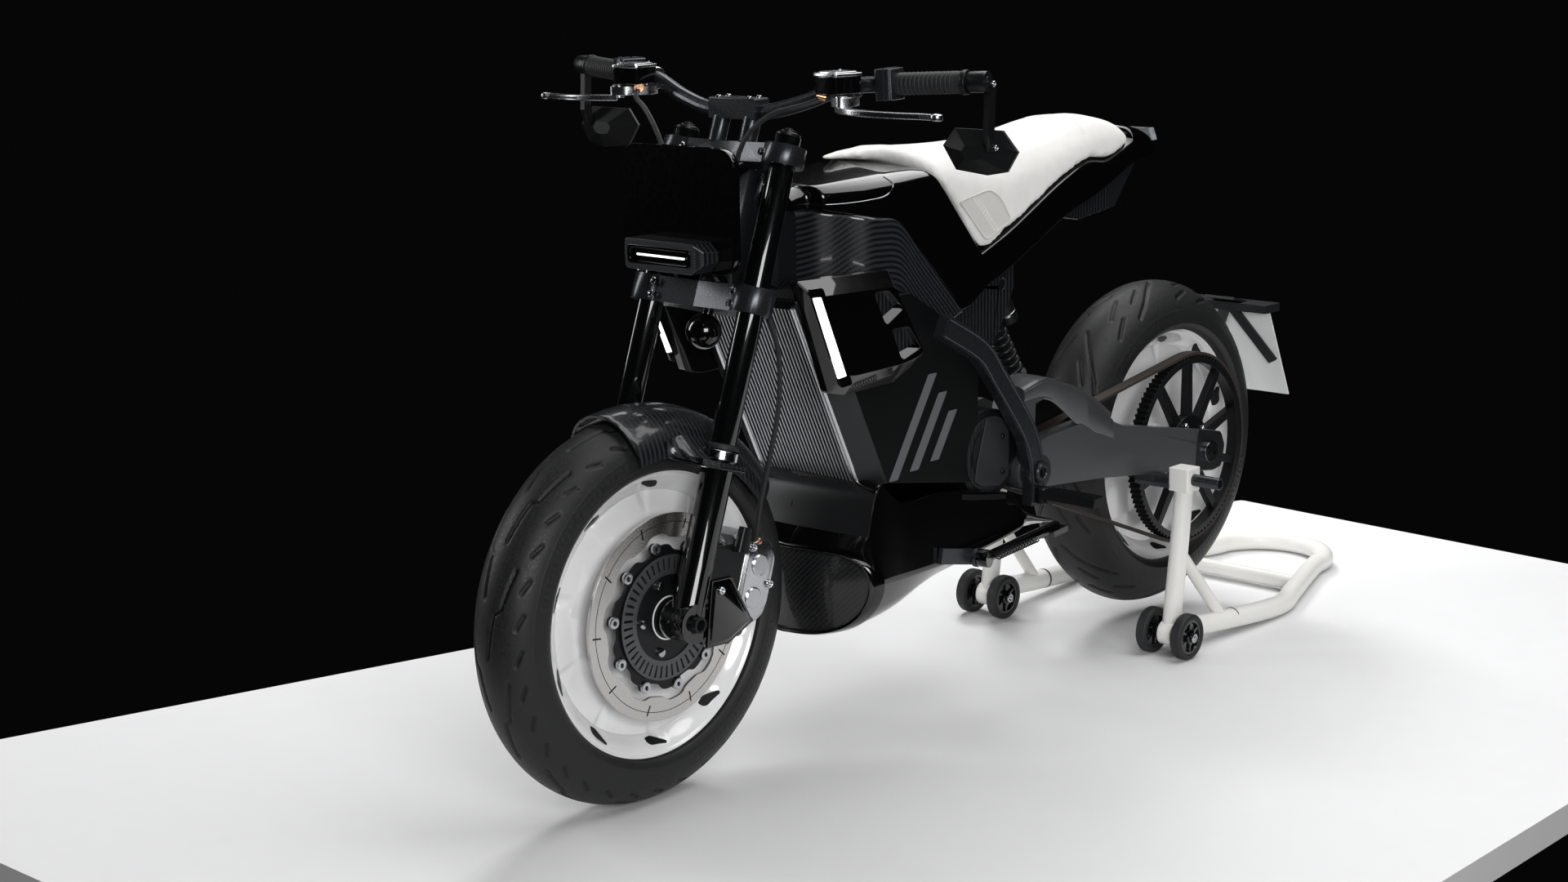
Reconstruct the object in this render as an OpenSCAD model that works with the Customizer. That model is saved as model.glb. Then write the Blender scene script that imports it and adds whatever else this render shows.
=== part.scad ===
// Electric motorcycle with a belt drive, standing on a white rear paddock stand.
// X points forward, Y to the rider's left and Z up. The tables of outlines are
// measured from the front axle, and place() moves them to the part's own origin,
// which is on the floor in the middle of the box around the whole object.

/* [Wheels] */
// Distance between the two axles
wheelbase = 1350; // [1330:5:1390]
// Radius of the front tyre
front_tyre_r = 300; // [294:1:304]
// Width of the front tyre
front_tyre_w = 122; // [112:2:126]
// Radius of the rear tyre
rear_tyre_r = 308; // [302:1:312]
// Width of the rear tyre
rear_tyre_w = 148; // [140:2:152]
// Height of the rear tyre above the floor on its stand
rear_lift = 28; // [15:1:45]
// Height of the front tyre above the edge of its rim
sidewall_h = 68; // [66:1:71]
// Height of the rear tyre above the edge of its rim
rear_sidewall_h = 76; // [74:1:79]
// Depth of the tyre seat below the edge of the rims
bead_step = 14; // [12:1:17]
// Width of the front rim
front_rim_w = 106; // [102:2:110]
// Width of the rear rim
rear_rim_w = 114; // [110:2:120]
// Number of slots in each rim
rim_slots = 10; // [6:1:14]

/* [Steering] */
// Lean of the fork from upright
rake = 19; // [18:0.5:21]
// Distance between the fork legs' centres
fork_spacing = 212; // [208:2:216]
// Diameter of the upper fork tubes
fork_tube_d = 41; // [39:1:43]
// Diameter of the fork sliders
slider_d = 50; // [48:1:53]
// Distance from the fork legs' plane back to the steering axis
clamp_offset = 32; // [30:1:36]
// Diameter of the steering stem
stem_d = 40; // [36:1:42]
// Diameter of the front axle
front_axle_d = 25; // [22:1:27]
// Diameter of the hole through the front axle
axle_bore_d = 17; // [14:1:18]
// Diameter of the handlebar
bar_d = 24; // [22:1:28]
// Distance from the front brake disc's edge out to the edge of its rim
disc_inset = 72; // [70:1:80]

/* [Drive] */
// Radius of the rear belt pulley
rear_pulley_r = 176; // [168:1:180]
// Number of spokes of the rear pulley
pulley_spokes = 10; // [8:1:12]
// Radius of the drive pulley at the swingarm pivot
drive_pulley_r = 32; // [26:1:36]
// Thickness of the belt
belt_t = 5; // [4:0.5:6]
// Radius of the motor
motor_r = 76; // [72:1:76]
// Diameter of the rear axle
rear_axle_d = 25; // [22:1:27]
// Diameter of the hole through each swingarm pivot bolt
pivot_bore_d = 18; // [14:1:20]
// Outer diameter of each swingarm pivot bolt
pivot_d = 28; // [26:1:30]

/* [Body] */
// Half width of the battery case
battery_half_w = 146; // [142:1:148]
// Half width of the finned heat sink
sink_half_w = 97; // [90:1:100]
// Number of heat sink fins
sink_fins = 27; // [15:2:31]
// Thickness of a heat sink fin
fin_t = 3; // [2:0.5:4]
// Half width of the belly fairing
belly_half_w = 160; // [154:1:164]
// Thickness of each side lamp housing
lamp_t = 36; // [30:1:40]
// Half width of the tank
tank_half_w = 130; // [124:1:134]

/* [Stand] */
// Diameter of the paddock stand's tubes
stand_tube_d = 38; // [34:1:42]
// Half the distance between the paddock stand's side tubes
stand_half_w = 208; // [202:2:216]
// Radius of the paddock stand's castors
castor_r = 42; // [38:1:46]
// Half width of the stand's handle loop
loop_half_w = 120; // [110:2:130]

/* [Hidden] */
$fn = 64;

// Small gaps between pieces
run_gap = 0.08;
pin_gap = 0.3;
clear_gap = 5;
face_gap = 0.8;

// Places worked out from the driving sizes, from the front axle
rear_axle = [-wheelbase, rear_tyre_r + rear_lift - front_tyre_r];
pivot = [-800, 95];
motor_at = [-704, 139];
floor_z = -front_tyre_r;
rim_edge_r = front_tyre_r - sidewall_h;
bead_r = rim_edge_r - bead_step;
rear_rim_edge_r = rear_tyre_r - rear_sidewall_h;
loop_end_x = -wheelbase - 590;
front_end_x = front_tyre_r;
mid_x = -(front_end_x + loop_end_x) / 2;

// Moves a piece from the front axle's frame to the part's own frame
module place() translate([mid_x, 0, front_tyre_r]) children();

// Tools for outlines and sweeps
function unit(v) = v / norm(v);
function side_of(p, i) =
    let (a = i > 0 ? unit(p[i] - p[i - 1]) : unit(p[1] - p[0]),
         b = i < len(p) - 1 ? unit(p[i + 1] - p[i]) : a,
         n = unit([-(a[1] + b[1]), a[0] + b[0]]))
    n / (n * [-a[1], a[0]]);
// Outline of a strip of one width along a line of points
function band(p, w) = concat(
    [for (i = [0 : len(p) - 1]) p[i] + side_of(p, i) * w / 2],
    [for (i = [len(p) - 1 : -1 : 0]) p[i] - side_of(p, i) * w / 2]);
// One point of a smooth curve through four neighbours, at share t of the middle stretch
function curve_at(a, b, c, d, t) =
    0.5 * (2 * b + (c - a) * t + (2 * a - 5 * b + 4 * c - d) * t * t + (3 * b - a - 3 * c + d) * t * t * t);
function smooth(p, n) = concat(
    [for (i = [0 : len(p) - 2]) for (k = [0 : n - 1])
        curve_at(p[max(i - 1, 0)], p[i], p[i + 1], p[min(i + 2, len(p) - 1)], k / n)],
    [p[len(p) - 1]]);
function tangent(p, i) = unit(p[min(i + 1, len(p) - 1)] - p[max(i - 1, 0)]);

// Round tube of radius r with n sides along a line of points; ref is never along the tube
module sweep(p, r, n, ref) {
    m = len(p);
    ring = [for (i = [0 : m - 1])
        let (t = tangent(p, i), u = unit(cross(ref, t)), v = cross(t, u))
        for (j = [0 : n - 1]) p[i] + r * (cos(360 * j / n) * u + sin(360 * j / n) * v)];
    walls = [for (i = [0 : m - 2]) for (j = [0 : n - 1])
        let (a = i * n + j, b = i * n + (j + 1) % n)
        each [[a, a + n, b + n], [a, b + n, b]]];
    caps = [[for (j = [0 : n - 1]) j], [for (j = [n - 1 : -1 : 0]) (m - 1) * n + j]];
    polyhedron(points = ring, faces = concat(walls, caps), convexity = 6);
}

// Plates cut from an outline: seen from the side, from above and from the front
module side_plate(y0, y1, pts)
    translate([0, y1, 0]) rotate([90, 0, 0]) linear_extrude(y1 - y0) polygon(pts);
module plan_plate(z0, z1, pts) translate([0, 0, z0]) linear_extrude(z1 - z0) polygon(pts);
module front_plate(x0, x1, pts)
    translate([x0, 0, 0]) rotate([90, 0, 90]) linear_extrude(x1 - x0) polygon(pts);
// A body of revolution about the Y axis, drawn as radius and Y
module turned_y() rotate([-90, 0, 0]) rotate_extrude($fn = 128) children();
module rod_y(r, y0, y1) translate([0, y0, 0]) rotate([-90, 0, 0]) cylinder(r = r, h = y1 - y0);
module at(p) translate([p[0], 0, p[1]]) children();
module both_sides() { children(); mirror([0, 1, 0]) children(); }
// Half-width table [x, half width] as a closed outline seen from above
function mirrored(t) = concat(t, [for (i = [len(t) - 1 : -1 : 0]) [t[i][0], -t[i][1]]]);

// Wheels

// Section of a tyre of outer radius r and width w on a rim of width rw and edge radius edge
module tyre_section(r, w, rw, edge) {
    flange = 6;
    difference() {
        translate([r - w / 2, 0]) circle(r = w / 2, $fn = 96);
        translate([0, -w]) square([edge - bead_step, 2 * w]);
        for (s = [-1, 1]) translate([0, s * (rw / 2 + w / 2 - flange)])
            translate([0, -w / 2]) square([edge, w]);
    }
}
module front_tyre() place() color("#1b1c1e")
    turned_y() tyre_section(front_tyre_r, front_tyre_w, front_rim_w, rim_edge_r);
module rear_tyre() place() color("#1b1c1e")
    at(rear_axle) turned_y() tyre_section(rear_tyre_r, rear_tyre_w, rear_rim_w, rear_rim_edge_r);

// Dished disc wheel of width w and edge radius edge: two skins joined at the rim and at the hub
rim_flange = 6;
rim_dish_y = 26;
rim_skin = 9;
rim_hub_r = 58;
hub_r = 34;
dish_inset = 44;
module rim_half_outline(w, edge) {
    seat_r = edge - bead_step;
    polygon([[rim_hub_r, -1], [seat_r, -1], [seat_r, w / 2 - rim_flange], [edge, w / 2 - rim_flange],
        [edge, w / 2], [edge - 12, w / 2], [edge - dish_inset, rim_dish_y], [rim_hub_r, rim_dish_y]]);
}
module rim_half_hollow(w, edge) {
    inner_r = edge - bead_step - 6;
    polygon([[rim_hub_r + 12, -1], [inner_r, -1], [inner_r, w / 2 - rim_flange - 14],
        [edge - dish_inset, rim_dish_y - rim_skin], [rim_hub_r + 12, rim_dish_y - rim_skin]]);
}
// The slot through the skins: three corners on the outer side and a step
slot_inset = 33;
slot_shape = [[-16, 4], [14, 8], [16, -6], [2, -8]];
module disc_wheel(w, hub_bore_r, hub_half, edge) {
    difference() {
        union() {
            turned_y() { rim_half_outline(w, edge); mirror([0, 1]) rim_half_outline(w, edge); }
            rod_y(rim_hub_r + 0.5, -rim_dish_y, rim_dish_y);
            rod_y(hub_r, -hub_half, hub_half);
        }
        turned_y() { rim_half_hollow(w, edge); mirror([0, 1]) rim_half_hollow(w, edge); }
        rod_y(hub_bore_r, -w, w);
        for (k = [0 : rim_slots - 1]) rotate([0, 360 / rim_slots * k, 0])
            translate([0, 0, edge - slot_inset]) side_plate(-w, w, slot_shape);
    }
}
front_hub_half = 72;
module front_rim() place() color("#e9ebec")
    disc_wheel(front_rim_w, front_axle_d / 2 + run_gap, front_hub_half, rim_edge_r);
rear_hub_half = 98;
module rear_rim() place() color("#e9ebec")
    at(rear_axle) disc_wheel(rear_rim_w, rear_axle_d / 2 + run_gap, rear_hub_half, rear_rim_edge_r);

// Front brake disc and its dark carrier with the sensor ring
disc_y = 62;
disc_t = 5;
front_disc_r = rim_edge_r - disc_inset;
disc_inner_r = front_disc_r - 42;
carrier_r = disc_inner_r - 26;
sensor_slots = 44;
button_proud = 2;
module front_disc() place() color("#d5d2cc") difference() {
    rod_y(front_disc_r, disc_y, disc_y + disc_t);
    rod_y(disc_inner_r, disc_y - 1, disc_y + disc_t + 1);
}
module front_disc_carrier() place() color("#2c2d30") difference() {
    union() {
        rod_y(carrier_r, disc_y - 4, disc_y + disc_t + button_proud);
        for (k = [0 : 9]) rotate([0, 36 * k + 10, 0]) {
            translate([0, 0, carrier_r - 8]) side_plate(disc_y, disc_y + disc_t, [[-14, 0], [14, 0], [7, 24], [-7, 24]]);
            translate([0, 0, disc_inner_r - 9]) rod_y(8.9, disc_y - button_proud, disc_y + disc_t + button_proud);
        }
    }
    rod_y(hub_r, 0, 2 * disc_y);
    for (k = [0 : sensor_slots - 1]) rotate([0, 360 / sensor_slots * k, 0])
        translate([-1.5, disc_y + disc_t - 1, carrier_r - 16]) cube([3, 4, 13]);
}

// Steering. The fork's own frame has its Z along the legs and its origin at the axle.
module fork_frame() rotate([0, -rake, 0]) children();
function fork_pt(x, s) = [x * cos(rake) - s * sin(rake), x * sin(rake) + s * cos(rake)];
leg_y = fork_spacing / 2;
lower_clamp_s = 468;
lower_clamp_t = 40;
upper_clamp_s = 696;
upper_clamp_t = 30;
tube_top_s = 742;
slider_top_s = front_tyre_r - 38;
lobe_r = fork_tube_d / 2 + 12;

axle_half = leg_y + 34;
module front_axle() place() color("#9a9c9f") difference() {
    union() {
        rod_y(front_axle_d / 2, -axle_half, axle_half);
        for (s = [-1, 1]) scale([1, s, 1]) rod_y(front_axle_d / 2 + 6, front_hub_half + 1, front_hub_half + 8);
    }
    rod_y(axle_bore_d / 2, -axle_half - 1, axle_half + 1);
}
module fork_tubes() place() color("#141517") both_sides() fork_frame()
    translate([0, leg_y, slider_top_s]) cylinder(d = fork_tube_d, h = tube_top_s - slider_top_s);
slider_bottom_s = -16;
foot_half = 24;
foot_r = 30;
module fork_sliders() place() color("#17181a") both_sides() difference() {
    union() {
        fork_frame() translate([0, leg_y, slider_bottom_s])
            cylinder(d = slider_d, h = slider_top_s - slider_bottom_s);
        fork_frame() translate([0, leg_y, slider_top_s - 20]) cylinder(d = slider_d + 5, h = 20);
        rod_y(foot_r, leg_y - foot_half, leg_y + foot_half);
    }
    rod_y(front_axle_d / 2, 0, 2 * leg_y);
}

// Clamp plate seen along the fork: two lobes joined by a waisted bridge around the stem
module clamp_plate(s, t, waist) difference() {
    union() {
        for (k = [-1, 1]) translate([0, k * leg_y, s]) cylinder(r = lobe_r, h = t);
        translate([0, 0, s]) linear_extrude(t) polygon([[lobe_r * 0.7, leg_y], [lobe_r * 0.45, 0],
            [lobe_r * 0.7, -leg_y], [-lobe_r * 0.7, -leg_y], [-clamp_offset - waist, -24],
            [-clamp_offset - waist, 24], [-lobe_r * 0.7, leg_y]]);
    }
    for (k = [-1, 1]) translate([0, k * leg_y, s - 1]) cylinder(d = fork_tube_d, h = t + 2);
}
// Both clamps on one stem, and the two risers that hold the bar
clamp_block = [34, 96, 30];
riser_r = 14;
riser_y = 32;
module fork_clamps() place() color("#3a3c40") {
    fork_frame() {
        clamp_plate(upper_clamp_s, upper_clamp_t, 24);
        clamp_plate(lower_clamp_s, lower_clamp_t, 28);
        translate([-clamp_offset, 0, lower_clamp_s + 1])
            cylinder(d = stem_d, h = upper_clamp_s + upper_clamp_t + 10 - lower_clamp_s);
    }
    difference() {
        union() {
            translate([bar_half[0][0] - clamp_block[0] / 2, -clamp_block[1] / 2, bar_half[0][2] - 12]) cube(clamp_block);
            for (k = [-1, 1]) fork_frame() translate([6, k * riser_y, upper_clamp_s + upper_clamp_t - 1])
                cylinder(r = riser_r, h = 42);
        }
        bar_room();
    }
}

// Fender: an arched shell turned about the axle, with a foot on each side
fender_gap = 12;
fender_t = 4;
fender_half_w = 76;
fender_depth = 56;
fender_from = 78;
fender_to = 146;
module fender_section() intersection() {
    difference() {
        translate([front_tyre_r - front_tyre_w / 2, 0]) circle(r = front_tyre_w / 2 + fender_gap + fender_t);
        translate([front_tyre_r - front_tyre_w / 2, 0]) circle(r = front_tyre_w / 2 + fender_gap);
    }
    translate([front_tyre_r - fender_depth, -fender_half_w]) square([100, 2 * fender_half_w]);
}
foot_s = slider_top_s - 30;
module front_fender() place() color("#26272a") {
    rotate([-90, 0, 0]) rotate([0, 0, -fender_to])
        rotate_extrude(angle = fender_to - fender_from, $fn = 128) fender_section();
    both_sides() fork_frame() difference() {
        translate([0, 0, foot_s]) linear_extrude(10) polygon([
            [70, fender_half_w - 3], [52, leg_y + 18], [30, leg_y + 30], [-30, leg_y + 30],
            [-30, fender_half_w - 3]]);
        translate([0, leg_y, foot_s - 1]) cylinder(d = slider_d, h = 12);
    }
}

// Brake caliper behind the left leg: two halves around the disc's edge, on a bracket from the leg
caliper_from = front_disc_r - 54;
caliper_to = front_disc_r + 26;
caliper_s = 70;
caliper_half_h = 62;
caliper_y = [disc_y - 20, disc_y + disc_t + 30];
module rim_room() turned_y() polygon([[0, -disc_y], [bead_r + 22, -disc_y], [bead_r + 22, front_rim_w / 2 + clear_gap],
    [rim_edge_r - 14, front_rim_w / 2 + clear_gap], [rim_edge_r - dish_inset - 3, rim_dish_y + clear_gap], [0, rim_dish_y + clear_gap]]);
module front_caliper() place() color("#d9dadb") difference() {
    fork_frame() translate([0, 0, caliper_s]) {
        side_plate(caliper_y[0], caliper_y[1], [
            [-caliper_from, -caliper_half_h], [-caliper_from, caliper_half_h], [-caliper_to + 22, caliper_half_h + 16],
            [-caliper_to, caliper_half_h - 6], [-caliper_to, -caliper_half_h + 22], [-caliper_to + 26, -caliper_half_h]]);
        side_plate(leg_y - 22, caliper_y[1], [[0, -30], [-caliper_from - 2, -50], [-caliper_from - 2, 50], [0, 40]]);
    }
    slot_gap = clear_gap + button_proud;
    rod_y(front_disc_r + clear_gap, disc_y - slot_gap, disc_y + disc_t + slot_gap);
    rim_room();
    fork_frame() translate([0, leg_y, -100]) cylinder(d = slider_d, h = 400);
    rod_y(foot_r, 0, 2 * leg_y);
}
// Shields around the bottom of both legs
guard_y = leg_y + foot_half;
guard_t = 5;
module fork_guards() place() color("#101113") both_sides() {
    side_plate(guard_y, guard_y + guard_t, [[-16, -40], [-30, 62], [-72, 60], [-116, -18], [-62, -42]]);
    side_plate(guard_y - 30, guard_y + guard_t, band([[-60, -42], [-117, -17]], guard_t));
}

// Upright panel ahead of the fork, with the light bar across its foot
panel_x = -122;
panel_t = 12;
panel_half_w = 118;
panel_z = [505, 692];
panel_corner = 30;
stay_y = [40, 48];
module front_panel() place() color("#08090a") {
    translate([panel_x, 0, 0]) rotate([90, 0, 90]) {
        translate([-panel_half_w, panel_z[0] + panel_corner, 0])
            cube([2 * panel_half_w, panel_z[1] - panel_z[0] - 2 * panel_corner, panel_t]);
        translate([-panel_half_w + panel_corner, panel_z[0], 0])
            cube([2 * (panel_half_w - panel_corner), panel_z[1] - panel_z[0], panel_t]);
        for (y = [-1, 1]) for (z = [panel_z[0] + panel_corner, panel_z[1] - panel_corner])
            translate([y * (panel_half_w - panel_corner), z, 0]) cylinder(r = panel_corner, h = panel_t);
    }
    both_sides() {
        side_plate(stay_y[0], stay_y[1], [fork_pt(-5, lower_clamp_s + lower_clamp_t), fork_pt(16, lower_clamp_s + lower_clamp_t),
            [panel_x + 1, panel_z[0] + 20], [panel_x + 1, panel_z[0] + 50]]);
        side_plate(stay_y[0], stay_y[1], [fork_pt(-5, upper_clamp_s), fork_pt(16, upper_clamp_s),
            [panel_x + 1, panel_z[1] - 50], [panel_x + 1, panel_z[1] - 80]]);
    }
}
bar_light_z = [508, 554];
bar_light_half_w = 86;
light_recess = 6;
module light_bar() place() color("#202124") difference() {
    intersection() {
        plan_plate(bar_light_z[0], bar_light_z[1], mirrored([
            [panel_x + panel_t, bar_light_half_w], [-78, bar_light_half_w - 2], [-68, bar_light_half_w - 14]]));
        front_plate(panel_x, 0, [[-bar_light_half_w, 525], [-bar_light_half_w + 18, bar_light_z[0]],
            [bar_light_half_w - 18, bar_light_z[0]], [bar_light_half_w, 525], [bar_light_half_w, 540],
            [bar_light_half_w - 16, bar_light_z[1]], [-bar_light_half_w + 16, bar_light_z[1]],
            [-bar_light_half_w, 540]]);
    }
    translate([-68 - light_recess, -62, 520]) cube([light_recess + 1, 124, 22]);
}

// Round horn under the lower clamp
horn_r = 28;
horn_at = [-20, 436];
module horn() place() color("#121315") fork_frame() {
    translate([horn_at[0], 0, horn_at[1]]) sphere(r = horn_r);
    translate([horn_at[0], 0, horn_at[1]]) cylinder(r = 9, h = lower_clamp_s - horn_at[1]);
}

// Handlebar: one table of places on its left half, mirrored
bar_half = [[-247, 0, 736], [-247, 60, 736], [-256, 130, 753], [-269, 200, 777], [-281, 275, 783], [-314, 412, 789]];
bar_path = concat([for (i = [len(bar_half) - 1 : -1 : 1]) [bar_half[i][0], -bar_half[i][1], bar_half[i][2]]], bar_half);
module handlebar() place() color("#2b2c2e") sweep(smooth(bar_path, 4), bar_d / 2, 16, [0, 0, 1]);
// The bar's direction under the grip, and a frame along it
grip_from = bar_half[4];
grip_to = bar_half[5];
grip_dir = unit(grip_to - grip_from);
module along_grip() translate(grip_from)
    rotate([0, 0, atan2(grip_dir[1], grip_dir[0])]) rotate([0, 90 - asin(grip_dir[2]), 0]) children();
grip_r = 16.5;
grip_path = [for (i = [17 : 20]) smooth(bar_half, 4)[i]];
bar_l = norm(grip_to - grip_from);
bar_end_l = 14;
module bar_room() sweep(smooth(bar_path, 4), bar_d / 2 + run_gap, 16, [0, 0, 1]);
grip_bore = concat([for (i = [16 : 20]) smooth(bar_half, 4)[i]], [grip_to + 10 * tangent(smooth(bar_half, 4), 20)]);
module grips() place() color("#232427") both_sides() difference() {
    sweep(grip_path, grip_r, 16, [0, 0, 1]);
    sweep(grip_bore, bar_d / 2, 16, [0, 0, 1]);
}

// Switch box, brake perch and fluid reservoir on each half of the bar
lever_z = [742, 754];
perch = [62, 64, 24];
reservoir = [56, 52, 34];
module hand_controls() place() color("#2f3033") difference() {
    both_sides() {
        along_grip() translate([-24, -26, -12]) cube([48, 52, 30]);
        translate([-276, 196, lever_z[1]]) rotate([0, 0, -8]) cube(perch);
        translate([-262, 190, lever_z[1] + 14]) rotate([0, 0, -8]) cube(reservoir);
    }
    bar_room();
}
lever_line = [[-222, 230], [-196, 268], [-192, 320], [-212, 372], [-222, 408]];
lever_tip_r = 9;
module hand_levers() place() color("#c9cacb") both_sides() {
    tip = lever_line[len(lever_line) - 1];
    plan_plate(lever_z[0], lever_z[1], band(lever_line, 13));
    translate([tip[0], tip[1], lever_z[0] - 1]) cylinder(r = lever_tip_r, h = lever_z[1] - lever_z[0] + 2);
}

// Bar-end mirrors: a stalk and a faceted back
mirror_at = [-348, 390, 685];
stalk_y = [418, 428];
mirror_w = 138;
mirror_h = 66;
mirror_face = [[-0.5, 0.1], [-0.34, 0.5], [0.3, 0.5], [0.5, 0.05], [0.36, -0.4], [0.1, -0.5], [-0.32, -0.42]];
mirror_ridge = 22;
module mirror_back(x0, x1, share) front_plate(x0, x1, [for (p = mirror_face) share * [p[0] * mirror_w, p[1] * mirror_h]]);
module mirrors() place() color("#1c1d1f") both_sides() {
    along_grip() translate([0, 0, bar_l]) cylinder(r = 15, h = bar_end_l);
    side_plate(stalk_y[0], stalk_y[1], band([[-326, 789], [-322, 716], [-331, 690]], 15));
    translate(mirror_at) hull() {
        mirror_back(0, 4, 1);
        mirror_back(mirror_ridge - 1, mirror_ridge, 0.3);
    }
}

// Brake hoses: from each reservoir to the middle, and down the left leg to the caliper
hose_r = 4;
hose_left = [[-232, 200, 766], [-196, 172, 752], [-174, 130, 738], [-162, 90, 700], [-163, 66, 640], [-163, 56, 560],
    [-166, 52, 480]];
hose_down = [[-178, 118, 440], [-188, 130, 380], [-178, 137, 300], [-156, 136, 220], [-152, 122, 160], [-166, 100, 112],
    [-172, 90, 84]];
module brake_hoses() place() color("#17181a") {
    both_sides() sweep(smooth(hose_left, 3), hose_r, 8, [1, 0, 1]);
    sweep(smooth(hose_down, 3), hose_r, 8, [1, 0, 0]);
}

// Chassis

tank_front_x = -300;
cover_front_x = tank_front_x - 5;
spine_half_w = 24;
head_gap = 4;
module steering_head() difference() {
    union() {
        fork_frame() translate([-clamp_offset, 0, lower_clamp_s + lower_clamp_t + head_gap])
            cylinder(r = stem_d / 2 + 12, h = upper_clamp_s - lower_clamp_s - lower_clamp_t - 2 * head_gap);
        side_plate(-spine_half_w, spine_half_w, [[-214, 500], [cover_front_x, 456], [cover_front_x, 566], [-240, 600]]);
    }
    fork_frame() translate([-clamp_offset, 0, lower_clamp_s]) cylinder(d = stem_d + 2 * run_gap, h = 400);
}
// Side members, from the battery down to the swingarm pivot
frame_y = battery_half_w;
frame_t = 20;
frame_w = 38;
frame_line = [[-545, 380], [-641, 327], [-689, 273], [-772, 166], [-794, 95], [-794, 40]];
module frame_side() difference() {
    union() {
        side_plate(frame_y, frame_y + frame_t, band(frame_line, frame_w));
        at(pivot) rod_y(30, frame_y, frame_y + frame_t);
    }
    at(pivot) rod_y(pivot_d / 2, 0, 2 * frame_y);
}
// Side stand places: its pin leans outwards, and a lug on a bracket along the belly carries it
stand_pivot = [-627, belly_half_w + 21, -18];
bracket_front = [-532, 2];
bracket_w = 26;
bracket_t = 8;
stand_splay = 14;
stand_pin_r = 9;
lug_t = 7;
lug_from = -17;
module frame() place() color("#3b3d42") {
    steering_head();
    both_sides() frame_side();
    difference() {
        union() {
            side_plate(belly_half_w, belly_half_w + bracket_t, band([bracket_front, [stand_pivot[0], stand_pivot[2]]], bracket_w));
            translate(stand_pivot) rotate([0, 0, stand_splay]) rod_y(stand_pin_r + 7, lug_from, lug_from + lug_t);
        }
        translate(stand_pivot) rotate([0, 0, stand_splay]) rod_y(stand_pin_r + pin_gap, -40, 40);
    }
}

// The battery's front face leans forward at the top; face_pt gives points measured along it
face_top = [-250, 437];
face_lean = 25.7;
face_l = 341;
sink_base_t = 8;
sink_fin_h = 18;
sink_t = sink_base_t + sink_fin_h;
function face_pt(x, z) = [face_top[0] + x * cos(face_lean) + z * sin(face_lean),
    face_top[1] - x * sin(face_lean) + z * cos(face_lean)];
module at_face() at(face_top) rotate([0, face_lean, 0]) children();
battery_front_top = face_pt(-sink_t, 0);
battery_front_foot = face_pt(-sink_t, -face_l);
battery_rear_foot = [-655, 100];
cover_line = [[-480, 440], [-590, 375]];
module battery_block() side_plate(-battery_half_w, battery_half_w, [battery_front_top, battery_front_foot,
    battery_rear_foot, [-655, 300], cover_line[1], cover_line[0], [-300, 440]]);
// The motor stands in a round bay, open on the left
motor_bay_gap = 3;
module battery_case() place() color("#131417") difference() {
    battery_block();
    at(motor_at) rod_y(motor_r + motor_bay_gap, -motor_half_w - motor_bay_gap, 2 * battery_half_w);
}
module heat_sink() place() color("#85878b") at_face() {
    translate([-sink_t, -sink_half_w, -face_l]) cube([sink_base_t, 2 * sink_half_w, face_l]);
    pitch = (2 * sink_half_w - fin_t) / (sink_fins - 1);
    for (k = [0 : sink_fins - 1]) translate([-sink_fin_h - 0.5, -sink_half_w + k * pitch, -face_l])
        cube([sink_fin_h + 0.5, fin_t, face_l]);
    both_sides() translate([0, 0, -face_l]) linear_extrude(face_l) polygon([[-sink_t, sink_half_w],
        [-2, sink_half_w], [-2, sink_half_w + 8], [-sink_t, battery_half_w]]);
}

// Upper body, told by one outline for each shell and a table of half widths
tank_foot = [[-338, 579], [-472, 552], [-631, 391]];
seat_line = [[-443, 649], [-560, 629], [-612, 575], [-700, 483]];
seat_rear = [[-929, 574], [-1036, 603], [-1110, 596], [-1208, 622]];
module carbon_cover() place() color("#222326") intersection() {
    side_plate(-200, 200, concat([[-300, 440], [cover_front_x, 578]], tank_foot, [cover_line[1], cover_line[0]]));
    plan_plate(300, 700, mirrored([[cover_front_x, 64], [-345, 64], [-410, tank_half_w + 4], [-700, tank_half_w + 4]]));
}
tail_joint_x = -700;
module tank_shell() place() color("#0b0c0d") intersection() {
    side_plate(-200, 200, concat([[cover_front_x, 578], [tank_front_x, 606], [-345, 621]], seat_line,
        [[tail_joint_x, 418]], [tank_foot[2], tank_foot[1], tank_foot[0]]));
    plan_plate(300, 700, mirrored([[tank_front_x, 62], [-340, 62], [-440, tank_half_w - 6], [-540, tank_half_w],
        [tail_joint_x, tank_half_w - 6]]));
    front_plate(-800, 0, [[-tank_half_w, 380], [-tank_half_w, 598], [-104, 628], [-46, 652], [46, 652], [104, 628],
        [tank_half_w, 598], [tank_half_w, 380]]);
}
tail_foot = [[-1228, 582], [-947, 509], [-790, 448], [tail_joint_x, 418]];
tail_widths = [[tail_joint_x, 124], [-900, 102], [-1100, 80], [-1220, 62], [-1318, 40]];
module tail_shell() place() color("#0b0c0d") intersection() {
    side_plate(-200, 200, concat([seat_line[3]], seat_rear, [[-1222, 648], [-1292, 632], [-1313, 589]], tail_foot));
    plan_plate(300, 700, mirrored(tail_widths));
}
seat_top = [[-1205, 636], [-1177, 653], [-1102, 668], [-1029, 668], [-935, 648], [-754, 643], [-636, 648], [-543, 654]];
module seat() place() color("#f1efec") intersection() {
    side_plate(-200, 200, concat(seat_line, seat_rear, seat_top));
    plan_plate(300, 700, mirrored([[-443, 26], [-540, 62], [-600, tank_half_w - 4], [tail_joint_x, 118],
        [-900, 104], [-1100, 84], [-1208, 58]]));
    front_plate(-1300, 0, [[-132, 400], [-132, 560], [-112, 622], [-60, 672], [60, 672], [112, 622], [132, 560], [132, 400]]);
}
tail_light_z = [612, 634];
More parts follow.
